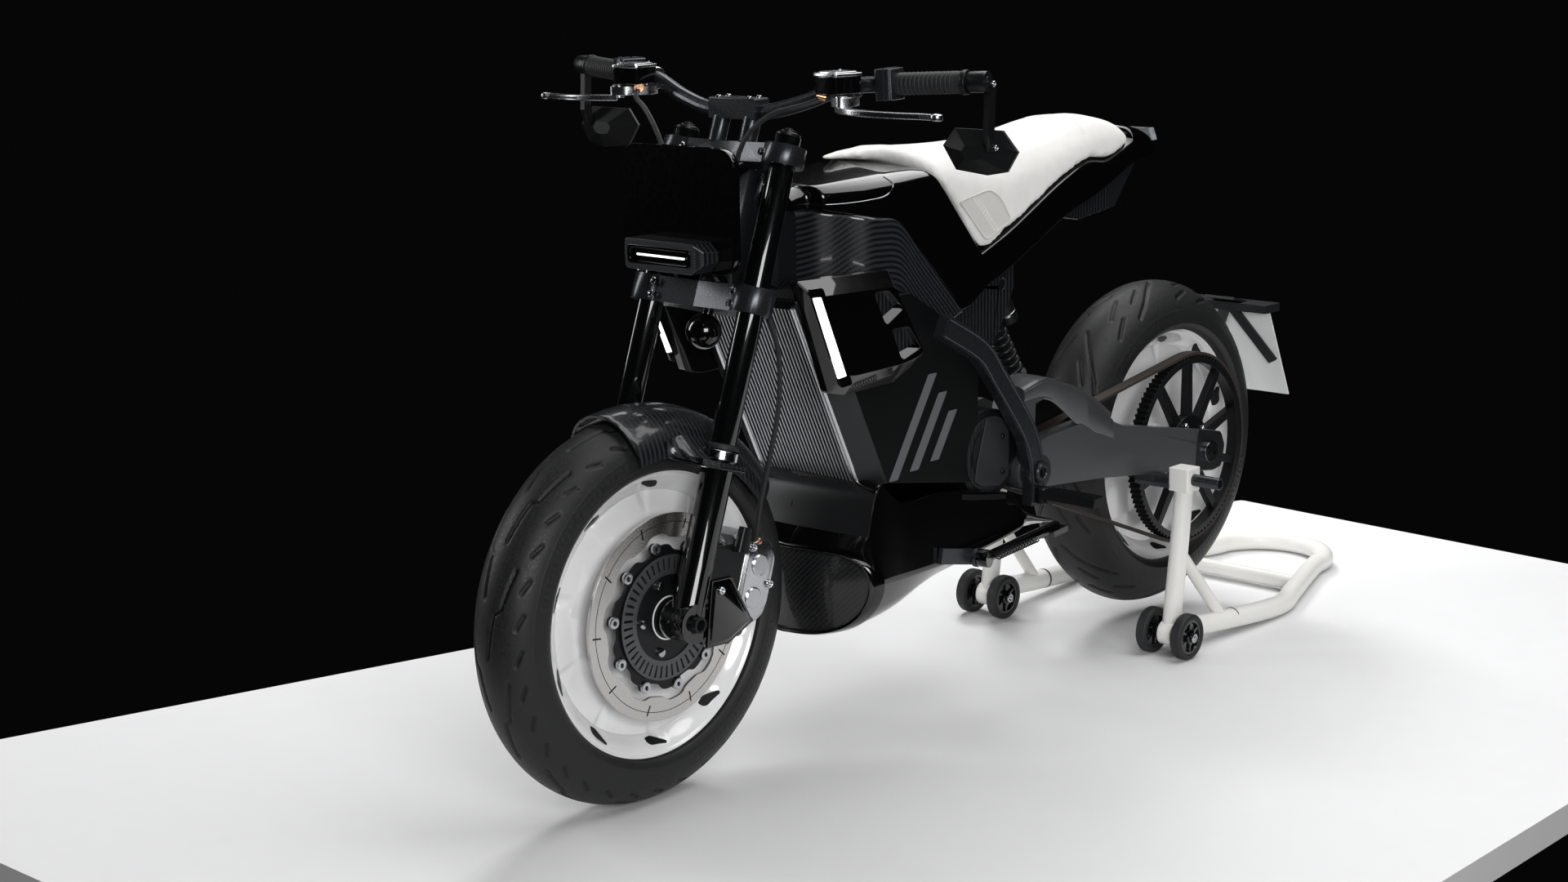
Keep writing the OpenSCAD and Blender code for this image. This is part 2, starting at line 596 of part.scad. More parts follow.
module tail_light() place() color("#dfe3e6") front_plate(-1330, -1313, [[-34, tail_light_z[0]],
    [34, tail_light_z[0]], [26, tail_light_z[1]], [-26, tail_light_z[1]]]);
// Undertray behind, and a gusset under the seat that takes the shock's upper eye in a slot
shock_top = [-828, 405];
shock_pin_r = 8;
shock_slot = 24;
gusset_half_w = 62;
module rear_carbon() place() color("#1d1e20") {
    intersection() {
        side_plate(-56, 56, [tail_foot[1], tail_foot[0], [-1258, 576], [-1231, 552], [-1181, 504], [-1056, 491]]);
        plan_plate(400, 700, mirrored([[-940, 56], [-1150, 50], [-1260, 36]]));
    }
    difference() {
        side_plate(-gusset_half_w, gusset_half_w, [tank_foot[2], tail_foot[3], tail_foot[2], [-858, 474], [-862, 400],
            [-836, 350], [-800, 299], [-700, 310], [-648, 345]]);
        translate([-900, -shock_slot, 250]) cube([128, 2 * shock_slot, 200]);
        at(shock_top) rod_y(shock_pin_r, -100, 100);
    }
}

// Side lamps: a thick housing on each side of the battery, a lit strip and two vents
lamp_y = battery_half_w;
lamp_shape = [[-196, 492], [-409, 485], [-488, 350], [-470, 328], [-418, 306], [-300, 304], [-265, 312]];
vent_shapes = [[[-348, 476], [-386, 478], [-424, 430], [-378, 404]], [[-390, 396], [-436, 396], [-472, 354], [-416, 320]]];
vent_depth = 8;
lamp_chamfer = 22;
module side_lamps() place() color("#0a0b0c") both_sides() difference() {
    intersection() {
        side_plate(lamp_y, lamp_y + lamp_t, lamp_shape);
        front_plate(-600, 0, [[lamp_y - 1, 500], [lamp_y + lamp_t - 12, 500], [lamp_y + lamp_t, 500 - lamp_chamfer],
            [lamp_y + lamp_t, 304 + lamp_chamfer], [lamp_y + lamp_t - 18, 304], [lamp_y - 1, 304]]);
    }
    for (v = vent_shapes) side_plate(lamp_y + lamp_t - vent_depth, lamp_y + lamp_t + 1, v);
}
module lamp_strips() place() color("#ffffff") both_sides()
    side_plate(lamp_y + lamp_t, lamp_y + lamp_t + 3, [[-206, 468], [-224, 467], [-280, 340], [-262, 338]]);

// Belly: one hull shape, cut into the carbon nose and the glossy fairing
nose_gap = 26;
belly_front = -front_tyre_r - nose_gap;
belly_side = [[-404, 150], [-360, 120], [belly_front - 12, 60], [belly_front - 2, 10], [belly_front, -50],
    [belly_front - 12, -92], [belly_front - 46, -110], [-450, -102],
    [-550, -74], [-640, -50], [-760, -26], [-866, -14], [-866, -2], [-775, 28], [-746, 67], [-549, 103], [-450, 105]];
belly_section = [[belly_half_w, 160], [belly_half_w, 4], [belly_half_w - 12, -34], [100, -104], [70, -112]];
nose_x = belly_front - 28;
nose_z = 38;
module belly_shape() difference() {
    intersection() {
        side_plate(-belly_half_w, belly_half_w, belly_side);
        front_plate(-900, -200, concat(belly_section,
            [for (i = [len(belly_section) - 1 : -1 : 0]) [-belly_section[i][0], belly_section[i][1]]]));
    }
    battery_block();
    at_face() translate([-sink_t, -battery_half_w, -face_l - 2]) cube([200, 2 * battery_half_w, 400]);
    side_plate(-motor_half_w - 2, motor_half_w + 2, [[-655, 102], [-655, 30], [-860, 30], [-860, 160]]);
    at(motor_at) rod_y(motor_r + motor_bay_gap, -motor_half_w - 2, cover_out_y + cover_step + motor_bay_gap);
}
module belly_fairing() place() color("#0b0c0d") difference() {
    belly_shape();
    translate([nose_x, -300, -300]) cube([300, 600, 300 + nose_z]);
}
module belly_nose() place() color("#1d1e21") intersection() {
    belly_shape();
    translate([nose_x, -300, -300]) cube([300, 600, 300 + nose_z]);
}

// Motor with a finned rim and a half-moon cover, its gear case, the drive pulley on that case, and the belt
motor_half_w = 108;
belt_y = [86, 108];
motor_inner_y = belt_y[0] - 2;
motor_fins = 36;
cover_out_y = 130;
cover_step = 5;
gear_case_t = 30;
gear_case_w = 60;
cover_cut_x = pivot[0] + drive_pulley_r + belt_t + 6;
module motor() place() color("#26272a") {
    at(motor_at) {
        rod_y(motor_r - 6, -motor_half_w, motor_inner_y);
        for (k = [0 : motor_fins - 1]) rotate([0, 360 / motor_fins * k, 0])
            translate([-2.5, -motor_half_w + 20, motor_r - 10]) cube([5, motor_inner_y + motor_half_w - 24, 8]);
        intersection() {
            union() {
                rod_y(motor_r, motor_inner_y - 1, cover_out_y);
                rod_y(motor_r - 26, cover_out_y - 1, cover_out_y + cover_step);
            }
            translate([cover_cut_x - motor_at[0], 0, -200]) cube([300, 300, 400]);
        }
    }
    side_plate(motor_inner_y - gear_case_t, motor_inner_y, band([motor_at, pivot], gear_case_w));
    at(pivot) rod_y(drive_pulley_r, motor_inner_y - 1, belt_y[1]);
}

// Outline of a loop around two pulleys: an arc around each, joined by the straight runs
function arc(c, r, a0, a1, n) = [for (k = [0 : n]) c + r * [cos(a0 + (a1 - a0) * k / n), sin(a0 + (a1 - a0) * k / n)]];
function loop(a, ra, b, rb) =
    let (d = b - a, dir = atan2(d[1], d[0]), turn = acos((ra - rb) / norm(d)))
    concat(arc(a, ra, dir + turn, dir + 360 - turn, 48), arc(b, rb, dir - turn, dir + turn, 16));
module drive_belt() place() color("#2a2320") difference() {
    side_plate(belt_y[0], belt_y[1],
        loop(rear_axle, rear_pulley_r + face_gap + belt_t, pivot, drive_pulley_r + face_gap + belt_t));
    side_plate(belt_y[0] - 1, belt_y[1] + 1, loop(rear_axle, rear_pulley_r + face_gap, pivot, drive_pulley_r + face_gap));
}
// Rear pulley: a ring and a plate whose windows leave the spokes
pulley_y = [85, 109];
pulley_ring = 16;
pulley_hub_r = 62;
pulley_plate_t = 12;
spoke_w = 12;
function window_half(r) = r * sin(180 / pulley_spokes) - spoke_w / 2;
module rear_pulley() place() color("#232427") at(rear_axle) difference() {
    inner = rear_pulley_r - pulley_ring;
    rod_y(rear_pulley_r, pulley_y[0], pulley_y[1]);
    rod_y(inner, pulley_y[0] + pulley_plate_t, pulley_y[1] + 1);
    rod_y(hub_r, 0, 2 * pulley_y[1]);
    for (k = [0 : pulley_spokes - 1]) rotate([0, 360 / pulley_spokes * k, 0])
        side_plate(0, 2 * pulley_y[1], [[-window_half(pulley_hub_r + 8), pulley_hub_r + 8],
            [window_half(pulley_hub_r + 8), pulley_hub_r + 8], [window_half(inner - 8), inner - 8],
            [-window_half(inner - 8), inner - 8]]);
}

// Swingarm: two arms and a bridge ahead of the tyre; the left arm carries the belt's arch
arm_y = [116, 146];
function from_axle(x, z) = rear_axle + [x, z];
function from_pivot(x, z) = pivot + [x, z];
arm_top = [from_pivot(-50, 52), from_pivot(-205, 63), from_pivot(-269, 35), from_axle(-41, 31)];
arm_end = [from_axle(-56, 4), from_axle(-44, -37), from_axle(-16, -40)];
arm_foot = [from_axle(148, -16), from_pivot(-196, -49), from_pivot(-28, -34)];
module arm() difference() {
    union() {
        side_plate(arm_y[0], arm_y[1], concat([from_pivot(20, 34)], arm_top, arm_end, arm_foot, [from_pivot(20, -28)]));
        at(pivot) rod_y(36, arm_y[0], arm_y[1]);
    }
    at(pivot) rod_y(pivot_d / 2, 0, 2 * arm_y[1]);
    at(rear_axle) rod_y(rear_axle_d / 2, 0, 2 * arm_y[1]);
}
arch_line = [from_pivot(8, 60), from_pivot(4, 128), from_pivot(-40, 138), from_pivot(-110, 116), from_pivot(-175, 84),
    from_pivot(-225, 50)];
arch_t = 34;
arch_inner_y = 74;
shock_foot = from_pivot(-164, 98);
shock_eye_r = 16;
shock_eye_half = 20;
lug_half_w = 42;
module swingarm() place() color("#77797d") difference() {
    union() {
        both_sides() arm();
        difference() {
            side_plate(arm_y[0], arm_y[1], band(arch_line, arch_t));
            at(pivot) rod_y(pivot_d / 2 + 4, 0, 300);
        }
        side_plate(arch_inner_y, arm_y[0] + 1, band([arch_line[2], arch_line[3]], arch_t - 6));
        side_plate(-arm_y[0] - 1, belt_y[0] - 6, [from_pivot(-110, -22), from_pivot(-172, -28), from_pivot(-172, 30), from_pivot(-110, 36)]);
        side_plate(belt_y[0] - 7, arm_y[0] + 1, [from_pivot(-150, -22), from_pivot(-172, -26), from_pivot(-172, 4), from_pivot(-150, 6)]);
        side_plate(-lug_half_w, lug_half_w, [from_pivot(-124, 33), from_pivot(-172, 28), from_pivot(-186, 92), from_pivot(-172, 114),
            from_pivot(-148, 110)]);
    }
    at(shock_foot) rod_y(shock_eye_r + 6, -shock_slot, shock_slot);
    at(shock_foot) rod_y(shock_pin_r, -lug_half_w - 1, lug_half_w + 1);
}
// Rear shock: body, spring turns and two eyes on pins
spring_turns = 7;
module shock_absorber() place() color("#2a2b2e") {
    d = shock_foot - shock_top;
    l = norm(d);
    at(shock_top) rotate([0, 90 + atan2(-d[1], d[0]), 0]) {
        cylinder(r = 13, h = l);
        translate([0, 0, shock_eye_r + 4]) cylinder(r = 22, h = l * 0.28);
        for (k = [0 : spring_turns - 1]) translate([0, 0, l * 0.42 + k * (l * 0.44 / spring_turns)])
            rotate_extrude() translate([16, 0]) circle(r = 4.5, $fn = 24);
        for (k = [0.36, 0.86]) translate([0, 0, l * k]) cylinder(r = 22, h = 5);
    }
    at(shock_top) rod_y(shock_eye_r, -shock_eye_half, shock_eye_half);
    at(shock_foot) rod_y(shock_eye_r, -shock_eye_half, shock_eye_half);
    at(shock_top) rod_y(shock_pin_r, -gusset_half_w, gusset_half_w);
    at(shock_foot) rod_y(shock_pin_r, -lug_half_w, lug_half_w);
}
module pivot_bolts() place() color("#8a8c90") both_sides() at(pivot) difference() {
    union() {
        rod_y(pivot_d / 2, motor_half_w + 2, frame_y + frame_t);
        rod_y(pivot_d / 2 + 5, frame_y + frame_t, frame_y + frame_t + 5);
    }
    rod_y(pivot_bore_d / 2, 0, 300);
}
module rear_axle() place() color("#85878b") at(rear_axle) {
    rod_y(rear_axle_d / 2, -arm_y[1] - 4, arm_y[1] + 4);
    for (s = [-1, 1]) scale([1, s, 1]) rod_y(rear_axle_d / 2 + 7, arm_y[1], arm_y[1] + 8);
}
// Rear brake on the right: a disc on the hub, and a caliper on the right arm's inner face
rear_disc_r = 110;
rear_disc_y = 72;
module rear_disc() place() color("#c9c8c4") mirror([0, 1, 0]) at(rear_axle) difference() {
    rod_y(rear_disc_r, rear_disc_y, rear_disc_y + disc_t);
    rod_y(hub_r, 0, 200);
    for (k = [0 : 5]) rotate([0, 60 * k, 0]) translate([0, 0, 62]) rod_y(14, 0, 200);
}
module rear_caliper() place() color("#2a2b2e") mirror([0, 1, 0]) at(rear_axle) difference() {
    side_plate(rear_disc_y - 16, arm_y[0], [[72, -16], [126, -8], [130, 48], [76, 52]]);
    rod_y(rear_disc_r + clear_gap, rear_disc_y - clear_gap, rear_disc_y + disc_t + clear_gap);
}

// Footpegs on the frame's feet
peg_at = [-794, 52];
peg_l = 108;
module footpegs() place() color("#3c3d40") both_sides() {
    at(peg_at) rod_y(10, frame_y + frame_t, frame_y + frame_t + 26);
    side_plate(frame_y + frame_t + 18, frame_y + frame_t + 18 + peg_l,
        [[peg_at[0] - 17, peg_at[1] + 3], [peg_at[0] + 17, peg_at[1] + 3], [peg_at[0] + 13, peg_at[1] + 17],
        [peg_at[0] - 13, peg_at[1] + 17]]);
}

// Side stand, folded back along the belly; its leaning pin swings the foot outwards
stand_leg_l = 200;
stand_rise = 5;
module side_stand() place() color("#0e0f10") translate(stand_pivot) {
    rotate([0, 0, stand_splay]) {
        rod_y(stand_pin_r, lug_from - 2, 10);
        rod_y(stand_pin_r + 6, lug_from + lug_t + face_gap, 10);
    }
    rotate([0, stand_rise, 0]) {
        rotate([0, -90, 0]) cylinder(r = 9, h = stand_leg_l);
        translate([-stand_leg_l - 14, -14, -12]) cube([40, 28, 10]);
    }
}

// Plate holder behind the tyre, carried by the right arm
plate_top = from_axle(-297, 215);
plate_lean = 24.7;
plate_half_w = 90;
plate_l = 190;
plate_t = 3;
holder_y = -arm_y[1] - 9;
holder_path = [[rear_axle[0] - 24, holder_y, rear_axle[1]], [rear_axle[0] - 110, holder_y, rear_axle[1] + 30],
    [rear_axle[0] - 215, holder_y + 14, rear_axle[1] + 120], [plate_top[0] + 2, -80, plate_top[1] + 16]];
module plate_holder() place() color("#1e1f21") {
    sweep(smooth(holder_path, 4), 9, 12, [0, 1, 0.2]);
    translate([plate_top[0] - 26, -96, plate_top[1] + 4]) cube([52, 192, 16]);
    translate([plate_top[0] - 2, -30, plate_top[1] + 17]) rotate([0, -14, 0]) cube([50, 66, 5]);
    at(plate_top) rotate([0, plate_lean, 0]) for (s = [-1, 1])
        front_plate(0, 5, band([[s * 6, 12], [s * 74, -110]], 22));
}
module number_plate() place() color("#eef0f0") at(plate_top) rotate([0, plate_lean, 0])
    translate([-plate_t, -plate_half_w, -plate_l + 1]) cube([plate_t, 2 * plate_half_w, plate_l]);

// Paddock stand: side tubes and loop in one bent tube, uprights with lifting pads, a cross tube and braces
stand_r = stand_tube_d / 2;
castor_at = [-wheelbase + 211, floor_z + castor_r];
tube_z = floor_z + stand_r;
loop_x = loop_end_x + loop_half_w + stand_r;
stand_half = concat(
    [[castor_at[0] - 4, stand_half_w, castor_at[1] + 6], [castor_at[0] - 150, stand_half_w + 8, tube_z + 14],
     [castor_at[0] - 345, stand_half_w + 14, tube_z], [castor_at[0] - 455, stand_half_w - 18, tube_z],
     [castor_at[0] - 590, loop_half_w + 22, tube_z]],
    [for (a = [90 : 15 : 180]) [loop_x + loop_half_w * cos(a), loop_half_w * sin(a), tube_z]]);
stand_path = concat(stand_half, [for (i = [len(stand_half) - 2 : -1 : 0])
    [stand_half[i][0], -stand_half[i][1], stand_half[i][2]]]);
// The pads lie along the arms' lower edges ahead of the axle; pad_at gives points on that edge
pad_share = 0.24;
function pad_at(t, drop) = arm_foot[0] + (arm_foot[1] - arm_foot[0]) * t * pad_share - [0, drop];
// Socket at the top of each upright, with a hollow peg through it
socket = [46, 46, 74];
socket_drop = 44;
peg_r = 11;
peg_bore_r = 8;
peg_out = 76;
pad_t = 12;
pad_plate_t = 8;
castor_w = 24;
castor_y = [stand_half_w - 37, stand_half_w + 37];
castor_pin_r = 8;
castor_boss_r = 22;
castor_boss_half = 14;
module stand_frame() place() color("#f4f4f2") difference() {
    union() {
        sweep(smooth(stand_path, 2), stand_r, 14, [0, 0, 1]);
        translate([castor_at[0] - 512, 0, tube_z]) rod_y(stand_r * 0.8, -stand_half_w + 36, stand_half_w - 36);
        both_sides() {
            sweep([[castor_at[0] - 4, stand_half_w, castor_at[1] + 6], [castor_at[0] - 12, stand_half_w, castor_at[1] + 60],
                [pad_at(0.5, 0)[0], stand_half_w, pad_at(0.5, socket_drop - 2)[1]]], stand_r * 0.9, 14, [0, 1, 0]);
            sweep([[castor_at[0] - 24, stand_half_w, castor_at[1] + 150], [castor_at[0] - 166, stand_half_w + 8, tube_z + 12]],
                stand_r * 0.6, 12, [0, 1, 0]);
            side_plate(arm_y[0], stand_half_w, [pad_at(0, pad_t), pad_at(1, pad_t), pad_at(1, pad_t + pad_plate_t),
                pad_at(0, pad_t + pad_plate_t)]);
            at(pad_at(0.5, 0)) {
                translate([-socket[0] / 2, stand_half_w - socket[1] / 2, -socket_drop]) cube(socket);
                rod_y(peg_r, stand_half_w, stand_half_w + peg_out);
            }
            at(castor_at) rod_y(castor_boss_r, stand_half_w - castor_boss_half, stand_half_w + castor_boss_half);
        }
    }
    both_sides() {
        at(castor_at) rod_y(castor_pin_r + pin_gap, 0, 400);
        at(pad_at(0.5, 0)) rod_y(peg_bore_r, stand_half_w + socket[1] / 2, stand_half_w + peg_out + 1);
    }
}
module stand_pads() place() color("#1a1a1b") both_sides()
    side_plate(arm_y[0], arm_y[1] + 12, [pad_at(0, 0), pad_at(1, 0), pad_at(1, pad_t), pad_at(0, pad_t)]);
// Each side has two wheels on one axle
module castor_pair() at(castor_at) {
    for (y = castor_y) {
        rod_y(castor_r, y - castor_w / 2, y + castor_w / 2);
        rod_y(castor_pin_r + 6, y - castor_w / 2 - 3, y + castor_w / 2 + 3);
    }
    rod_y(castor_pin_r, castor_y[0], castor_y[1] + castor_w / 2 + 6);
}
module castors_left() place() color("#17181a") castor_pair();
module castors_right() place() color("#17181a") mirror([0, 1, 0]) castor_pair();

front_tyre();
front_rim();
front_disc();
front_disc_carrier();
front_axle();
fork_tubes();
fork_sliders();
fork_clamps();
front_fender();
front_caliper();
fork_guards();
front_panel();
light_bar();
horn();
handlebar();
grips();
hand_controls();
hand_levers();
mirrors();
brake_hoses();
frame();
battery_case();
heat_sink();
carbon_cover();
tank_shell();
tail_shell();
seat();
tail_light();
rear_carbon();
side_lamps();
lamp_strips();
belly_fairing();
belly_nose();
motor();
drive_belt();
swingarm();
shock_absorber();
pivot_bolts();
rear_axle();
rear_caliper();
footpegs();
side_stand();
plate_holder();
number_plate();
rear_tyre();
rear_rim();
rear_pulley();
rear_disc();
stand_frame();
stand_pads();
castors_left();
castors_right();
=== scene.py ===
"""Looks of an electric motorcycle on its white paddock stand.

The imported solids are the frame. Most solids keep their shape and get a finish and softened edges;
body shells, tyres, wheels, seat, the stand's tubes and small fittings are new surfaces worked out with numpy.
Tables of places are in millimetres from the front axle: x forward, y to the rider's left, z up.
"""

import math

import bmesh
import bpy
import numpy as np
from mathutils import Matrix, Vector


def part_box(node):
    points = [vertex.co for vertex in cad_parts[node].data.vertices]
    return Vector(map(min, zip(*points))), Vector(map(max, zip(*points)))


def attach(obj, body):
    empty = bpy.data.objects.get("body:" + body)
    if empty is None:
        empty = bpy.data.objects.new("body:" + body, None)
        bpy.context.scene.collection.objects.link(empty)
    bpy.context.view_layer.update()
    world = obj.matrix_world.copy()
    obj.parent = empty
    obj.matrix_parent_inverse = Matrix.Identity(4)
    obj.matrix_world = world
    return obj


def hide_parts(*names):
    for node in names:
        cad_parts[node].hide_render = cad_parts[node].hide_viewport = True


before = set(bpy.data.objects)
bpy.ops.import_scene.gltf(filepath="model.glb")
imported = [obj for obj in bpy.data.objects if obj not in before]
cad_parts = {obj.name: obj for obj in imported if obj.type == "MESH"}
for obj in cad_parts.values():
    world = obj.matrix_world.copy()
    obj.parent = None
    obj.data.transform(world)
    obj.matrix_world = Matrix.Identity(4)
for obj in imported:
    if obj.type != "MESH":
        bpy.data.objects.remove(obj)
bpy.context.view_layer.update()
scene = bpy.context.scene
MM = 0.001
MERGE_M, WELD_M = 2e-6, 1e-5


def centre(node):
    """Middle of a CAD node's box, in metres."""
    low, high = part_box(node)
    return np.array((low + high) / 2)


FRONT_AXLE = centre("front_axle")
REAR_AXLE = centre("rear_axle")


def row(points):
    """Places in millimetres from the front axle, as metres in the shared frame."""
    return np.asarray(points, float) * MM + FRONT_AXLE


# Geometry


def smooth(points, steps):
    """Catmull-Rom curve through the points, with a number of steps in each stretch."""
    p = np.asarray(points, float)
    padded = np.vstack([2 * p[0] - p[1], p, 2 * p[-1] - p[-2]])
    t = np.linspace(0, 1, steps, endpoint=False)[:, None]
    a, b, c, d = (padded[i:i + len(p) - 1, None] for i in range(4))
    curve = 0.5 * (2 * b + (c - a) * t + (2 * a - 5 * b + 4 * c - d) * t**2 + (3 * b - a - 3 * c + d) * t**3)
    return np.vstack([curve.reshape(-1, p.shape[1]), p[-1:]])


def rounded(outline, radius, steps=5):
    """Closed outline, or a stack of them, with each corner replaced by a quadratic curve that starts a radius away."""
    p = np.asarray(outline, float)
    back, ahead = np.roll(p, 1, -2) - p, np.roll(p, -1, -2) - p
    back_l, ahead_l = (np.maximum(np.linalg.norm(v, axis=-1, keepdims=True), 1e-9) for v in (back, ahead))
    reach = np.minimum(radius, 0.45 * np.minimum(back_l, ahead_l))
    a, b, c = (q[..., None, :] for q in (p + back / back_l * reach, p, p + ahead / ahead_l * reach))
    t = np.linspace(0, 1, steps)[:, None]
    curve = a * (1 - t)**2 + 2 * b * t * (1 - t) + c * t**2
    return curve.reshape(*p.shape[:-2], -1, p.shape[-1])


def shrunk(outline, share):
    """An outline scaled by a share about its points' middle."""
    middle = outline.mean(0)
    return middle + (outline - middle) * share


def quads(rows, cols, wrap_rows=False, wrap_cols=False):
    """Corner numbers of a grid's faces, row by row; a wrapped side joins its end to its start."""
    r = np.arange(rows if wrap_rows else rows - 1)
    c = np.arange(cols if wrap_cols else cols - 1)
    a, b = (m.ravel() for m in np.meshgrid(r, c, indexing="ij"))
    a1, b1 = (a + 1) % rows, (b + 1) % cols
    return np.stack([a * cols + b, a * cols + b1, a1 * cols + b1, a1 * cols + b], -1)


def skin(rings):
    """Closed body through rings of points: a wall between neighbours and a flat cap on each end."""
    m, n = rings.shape[:2]
    caps = [list(range(n)), list(range(m * n - 1, (m - 1) * n - 1, -1))]
    return rings.reshape(-1, 3), quads(m, n, wrap_cols=True).tolist() + caps


def slab(grid, shift):
    """Closed body between a grid of points and the same grid shifted."""
    rows, cols = grid.shape[:2]
    number = np.arange(rows * cols).reshape(rows, cols)
    edge = np.concatenate([number[0], number[1:, -1], number[-1, -2::-1], number[-2:0:-1, 0]])
    ahead, top = np.roll(edge, -1), quads(rows, cols)
    side = np.stack([ahead, edge, edge + number.size, ahead + number.size], -1)
    faces = np.vstack([top, top[:, ::-1] + number.size, side])
    return np.vstack([grid.reshape(-1, 3), (grid + shift).reshape(-1, 3)]), faces.tolist()


def frustum(base, top, low, high, axis=1):
    """Body between two outlines with as many points each, at low and at high along one axis."""
    return skin(np.stack([np.insert(np.asarray(o, float), axis, end, axis=1) for o, end in ((base, low), (top, high))]))


def prism(outline, low, high, axis=1):
    """Straight body: a closed 2D outline carried from low to high along one axis."""
    return frustum(outline, outline, low, high, axis)


def unit(vectors):
    """Vectors divided by their lengths."""
    return vectors / np.linalg.norm(vectors, axis=-1, keepdims=True)


def tube(path, radius, sides=12, up=(0, 0, 1)):
    """Round body along a path; each ring stands square to the path, turned from the up direction."""
    p = np.asarray(path, float)
    ahead = unit(np.gradient(p, axis=0))
    u = unit(np.cross(np.asarray(up, float), ahead))
    v = np.cross(ahead, u)
    turn = np.linspace(0, 2 * np.pi, sides, endpoint=False)
    r = np.broadcast_to(radius, len(p))[:, None, None]
    return skin(p[:, None] + r * (u[:, None] * np.cos(turn)[:, None] + v[:, None] * np.sin(turn)[:, None]))


def ribbon(path, width, thick, out):
    """Flat strip along a path: a rectangle whose short side points along out."""
    p = np.asarray(path, float)
    out = np.broadcast_to(np.asarray(out, float), p.shape)
    side = unit(np.cross(unit(np.gradient(p, axis=0)), out))
    w, t = (np.broadcast_to(x, len(p))[:, None] / 2 for x in (width, thick))
    return skin(np.stack([p + i * side * w + j * out * t for i, j in ((1, -1), (1, 1), (-1, 1), (-1, -1))], 1))


def turned(profile, steps=96, closed=True):
    """Body of revolution about the Y axis: a profile of radius and y carried once around."""
    r, y = np.asarray(profile, float).T
    turn = np.linspace(0, 2 * np.pi, steps, endpoint=False)[:, None]
    grid = np.stack([r * np.sin(turn), y + 0 * turn, r * np.cos(turn)], -1)
    return grid.reshape(-1, 3), quads(steps, len(r), wrap_rows=True, wrap_cols=closed).tolist()


def moved(body, shift=(0, 0, 0), turn=None):
    """A body turned by a matrix and then shifted."""
    verts, faces = body
    verts = np.asarray(verts, float)
    return (verts @ np.asarray(turn, float).T if turn is not None else verts) + np.asarray(shift, float), faces


def joined(bodies):
    """Several bodies as one list of points and faces."""
    verts, faces, count = [], [], 0
    for v, f in bodies:
        verts.append(np.asarray(v, float))
        faces += [[i + count for i in face] for face in f]
        count += len(v)
    return np.vstack(verts), faces


def copies(body, turns, shifts):
    """One body repeated at each pair of turning matrix and shift, as whole arrays."""
    verts, faces = np.asarray(body[0], float), body[1]
    placed = np.einsum("kij,nj->kni", np.asarray(turns, float), verts) + np.asarray(shifts, float)[:, None]
    return joined([(block, faces) for block in placed])


def mirrored(body):
    """A body on the left together with its mirror image on the right."""
    verts, faces = body
    return joined([(verts, faces), (np.asarray(verts) * [1, -1, 1], [face[::-1] for face in faces])])


def about_y(angles):
    """Turning matrices about the Y axis, one for each angle in radians."""
    c, s, o, i = np.cos(angles), np.sin(angles), np.zeros_like(angles), np.ones_like(angles)
    return np.stack([np.stack([c, o, s], -1), np.stack([o, i, o], -1), np.stack([-s, o, c], -1)], -2)


def around(count, start=0.0):
    """Evenly spaced angles around a circle."""
    return start + 2 * np.pi * np.arange(count) / count


def spun(body, count, start=0.0):
    """One body repeated evenly around the Y axis."""
    return copies(body, about_y(around(count, start)), np.zeros((count, 3)))


def strewn(body, spots):
    """One body repeated at places, not turned."""
    return copies(body, np.broadcast_to(np.eye(3), (len(spots), 3, 3)), spots)


def facing(direction):
    """Turning matrix that takes the Y axis to a direction."""
    y = unit(np.asarray(direction, float))
    x = unit(np.cross(y, [0.0, 0.0, 1.0] if abs(y[2]) < 0.9 else [1.0, 0.0, 0.0]))
    return np.stack([x, y, np.cross(x, y)], 1)


UPRIGHT = facing((0, 0, 1))


def along(body, start, end):
    """A body made about the Y axis, set with its origin at one place and its Y axis towards another."""
    start, end = np.asarray(start, float), np.asarray(end, float)
    return moved(body, start, facing(end - start))


def box(size, radius=2.0, middle=(0, 0, 0), taper=1.0):
    """Block with rounded corners seen from above; its top outline is the lower one times the taper."""
    x, y, z = np.asarray(size, float) / 2
    flat = rounded([(-x, -y), (x, -y), (x, y), (-x, y)], radius, 4)
    return moved(frustum(flat, flat * taper, -z, z, axis=2), middle)


def bolt_head(radius, height, socket=0.5, steps=20):
    """Socket-head bolt about the Y axis: a domed rim around a well, its foot at y 0."""
    well = radius * socket
    return turned([(0, height * 0.35), (well, height * 0.35), (well, height * 0.92), (well * 1.15, height),
                   (radius * 0.86, height), (radius, height * 0.8), (radius, 0), (0, 0)], steps)


def cleaned(mesh, reach):
    """Merges a mesh's points that are within a reach and turns its faces outwards."""
    work = bmesh.new()
    work.from_mesh(mesh)
    bmesh.ops.remove_doubles(work, verts=work.verts, dist=reach)
    bmesh.ops.recalc_face_normals(work, faces=work.faces)
    work.to_mesh(mesh)
    work.free()


def scratch_solid(body, reach=1e-4):
    """A scratch object of a closed body with its faces turned outwards."""
    mesh = bpy.data.meshes.new("scratch")
    mesh.from_pydata(np.asarray(body[0], float).tolist(), [], body[1])
    cleaned(mesh, reach)
    obj = bpy.data.objects.new("scratch", mesh)
    scene.collection.objects.link(obj)
    return obj


def worked(obj):
    """An object's mesh with its modifiers worked in."""
    return obj.evaluated_get(bpy.context.evaluated_depsgraph_get()).data


def points_of(obj, what="co"):
    """Points of an object with its modifiers, or their normals."""
    shape = worked(obj)
    flat = np.empty(len(shape.vertices) * 3)
    shape.vertices.foreach_get(what, flat)
    return flat.reshape(-1, 3)


def faces_of(obj):
    """Faces of an object with its modifiers, as point numbers."""
    return [list(face.vertices) for face in worked(obj).polygons]


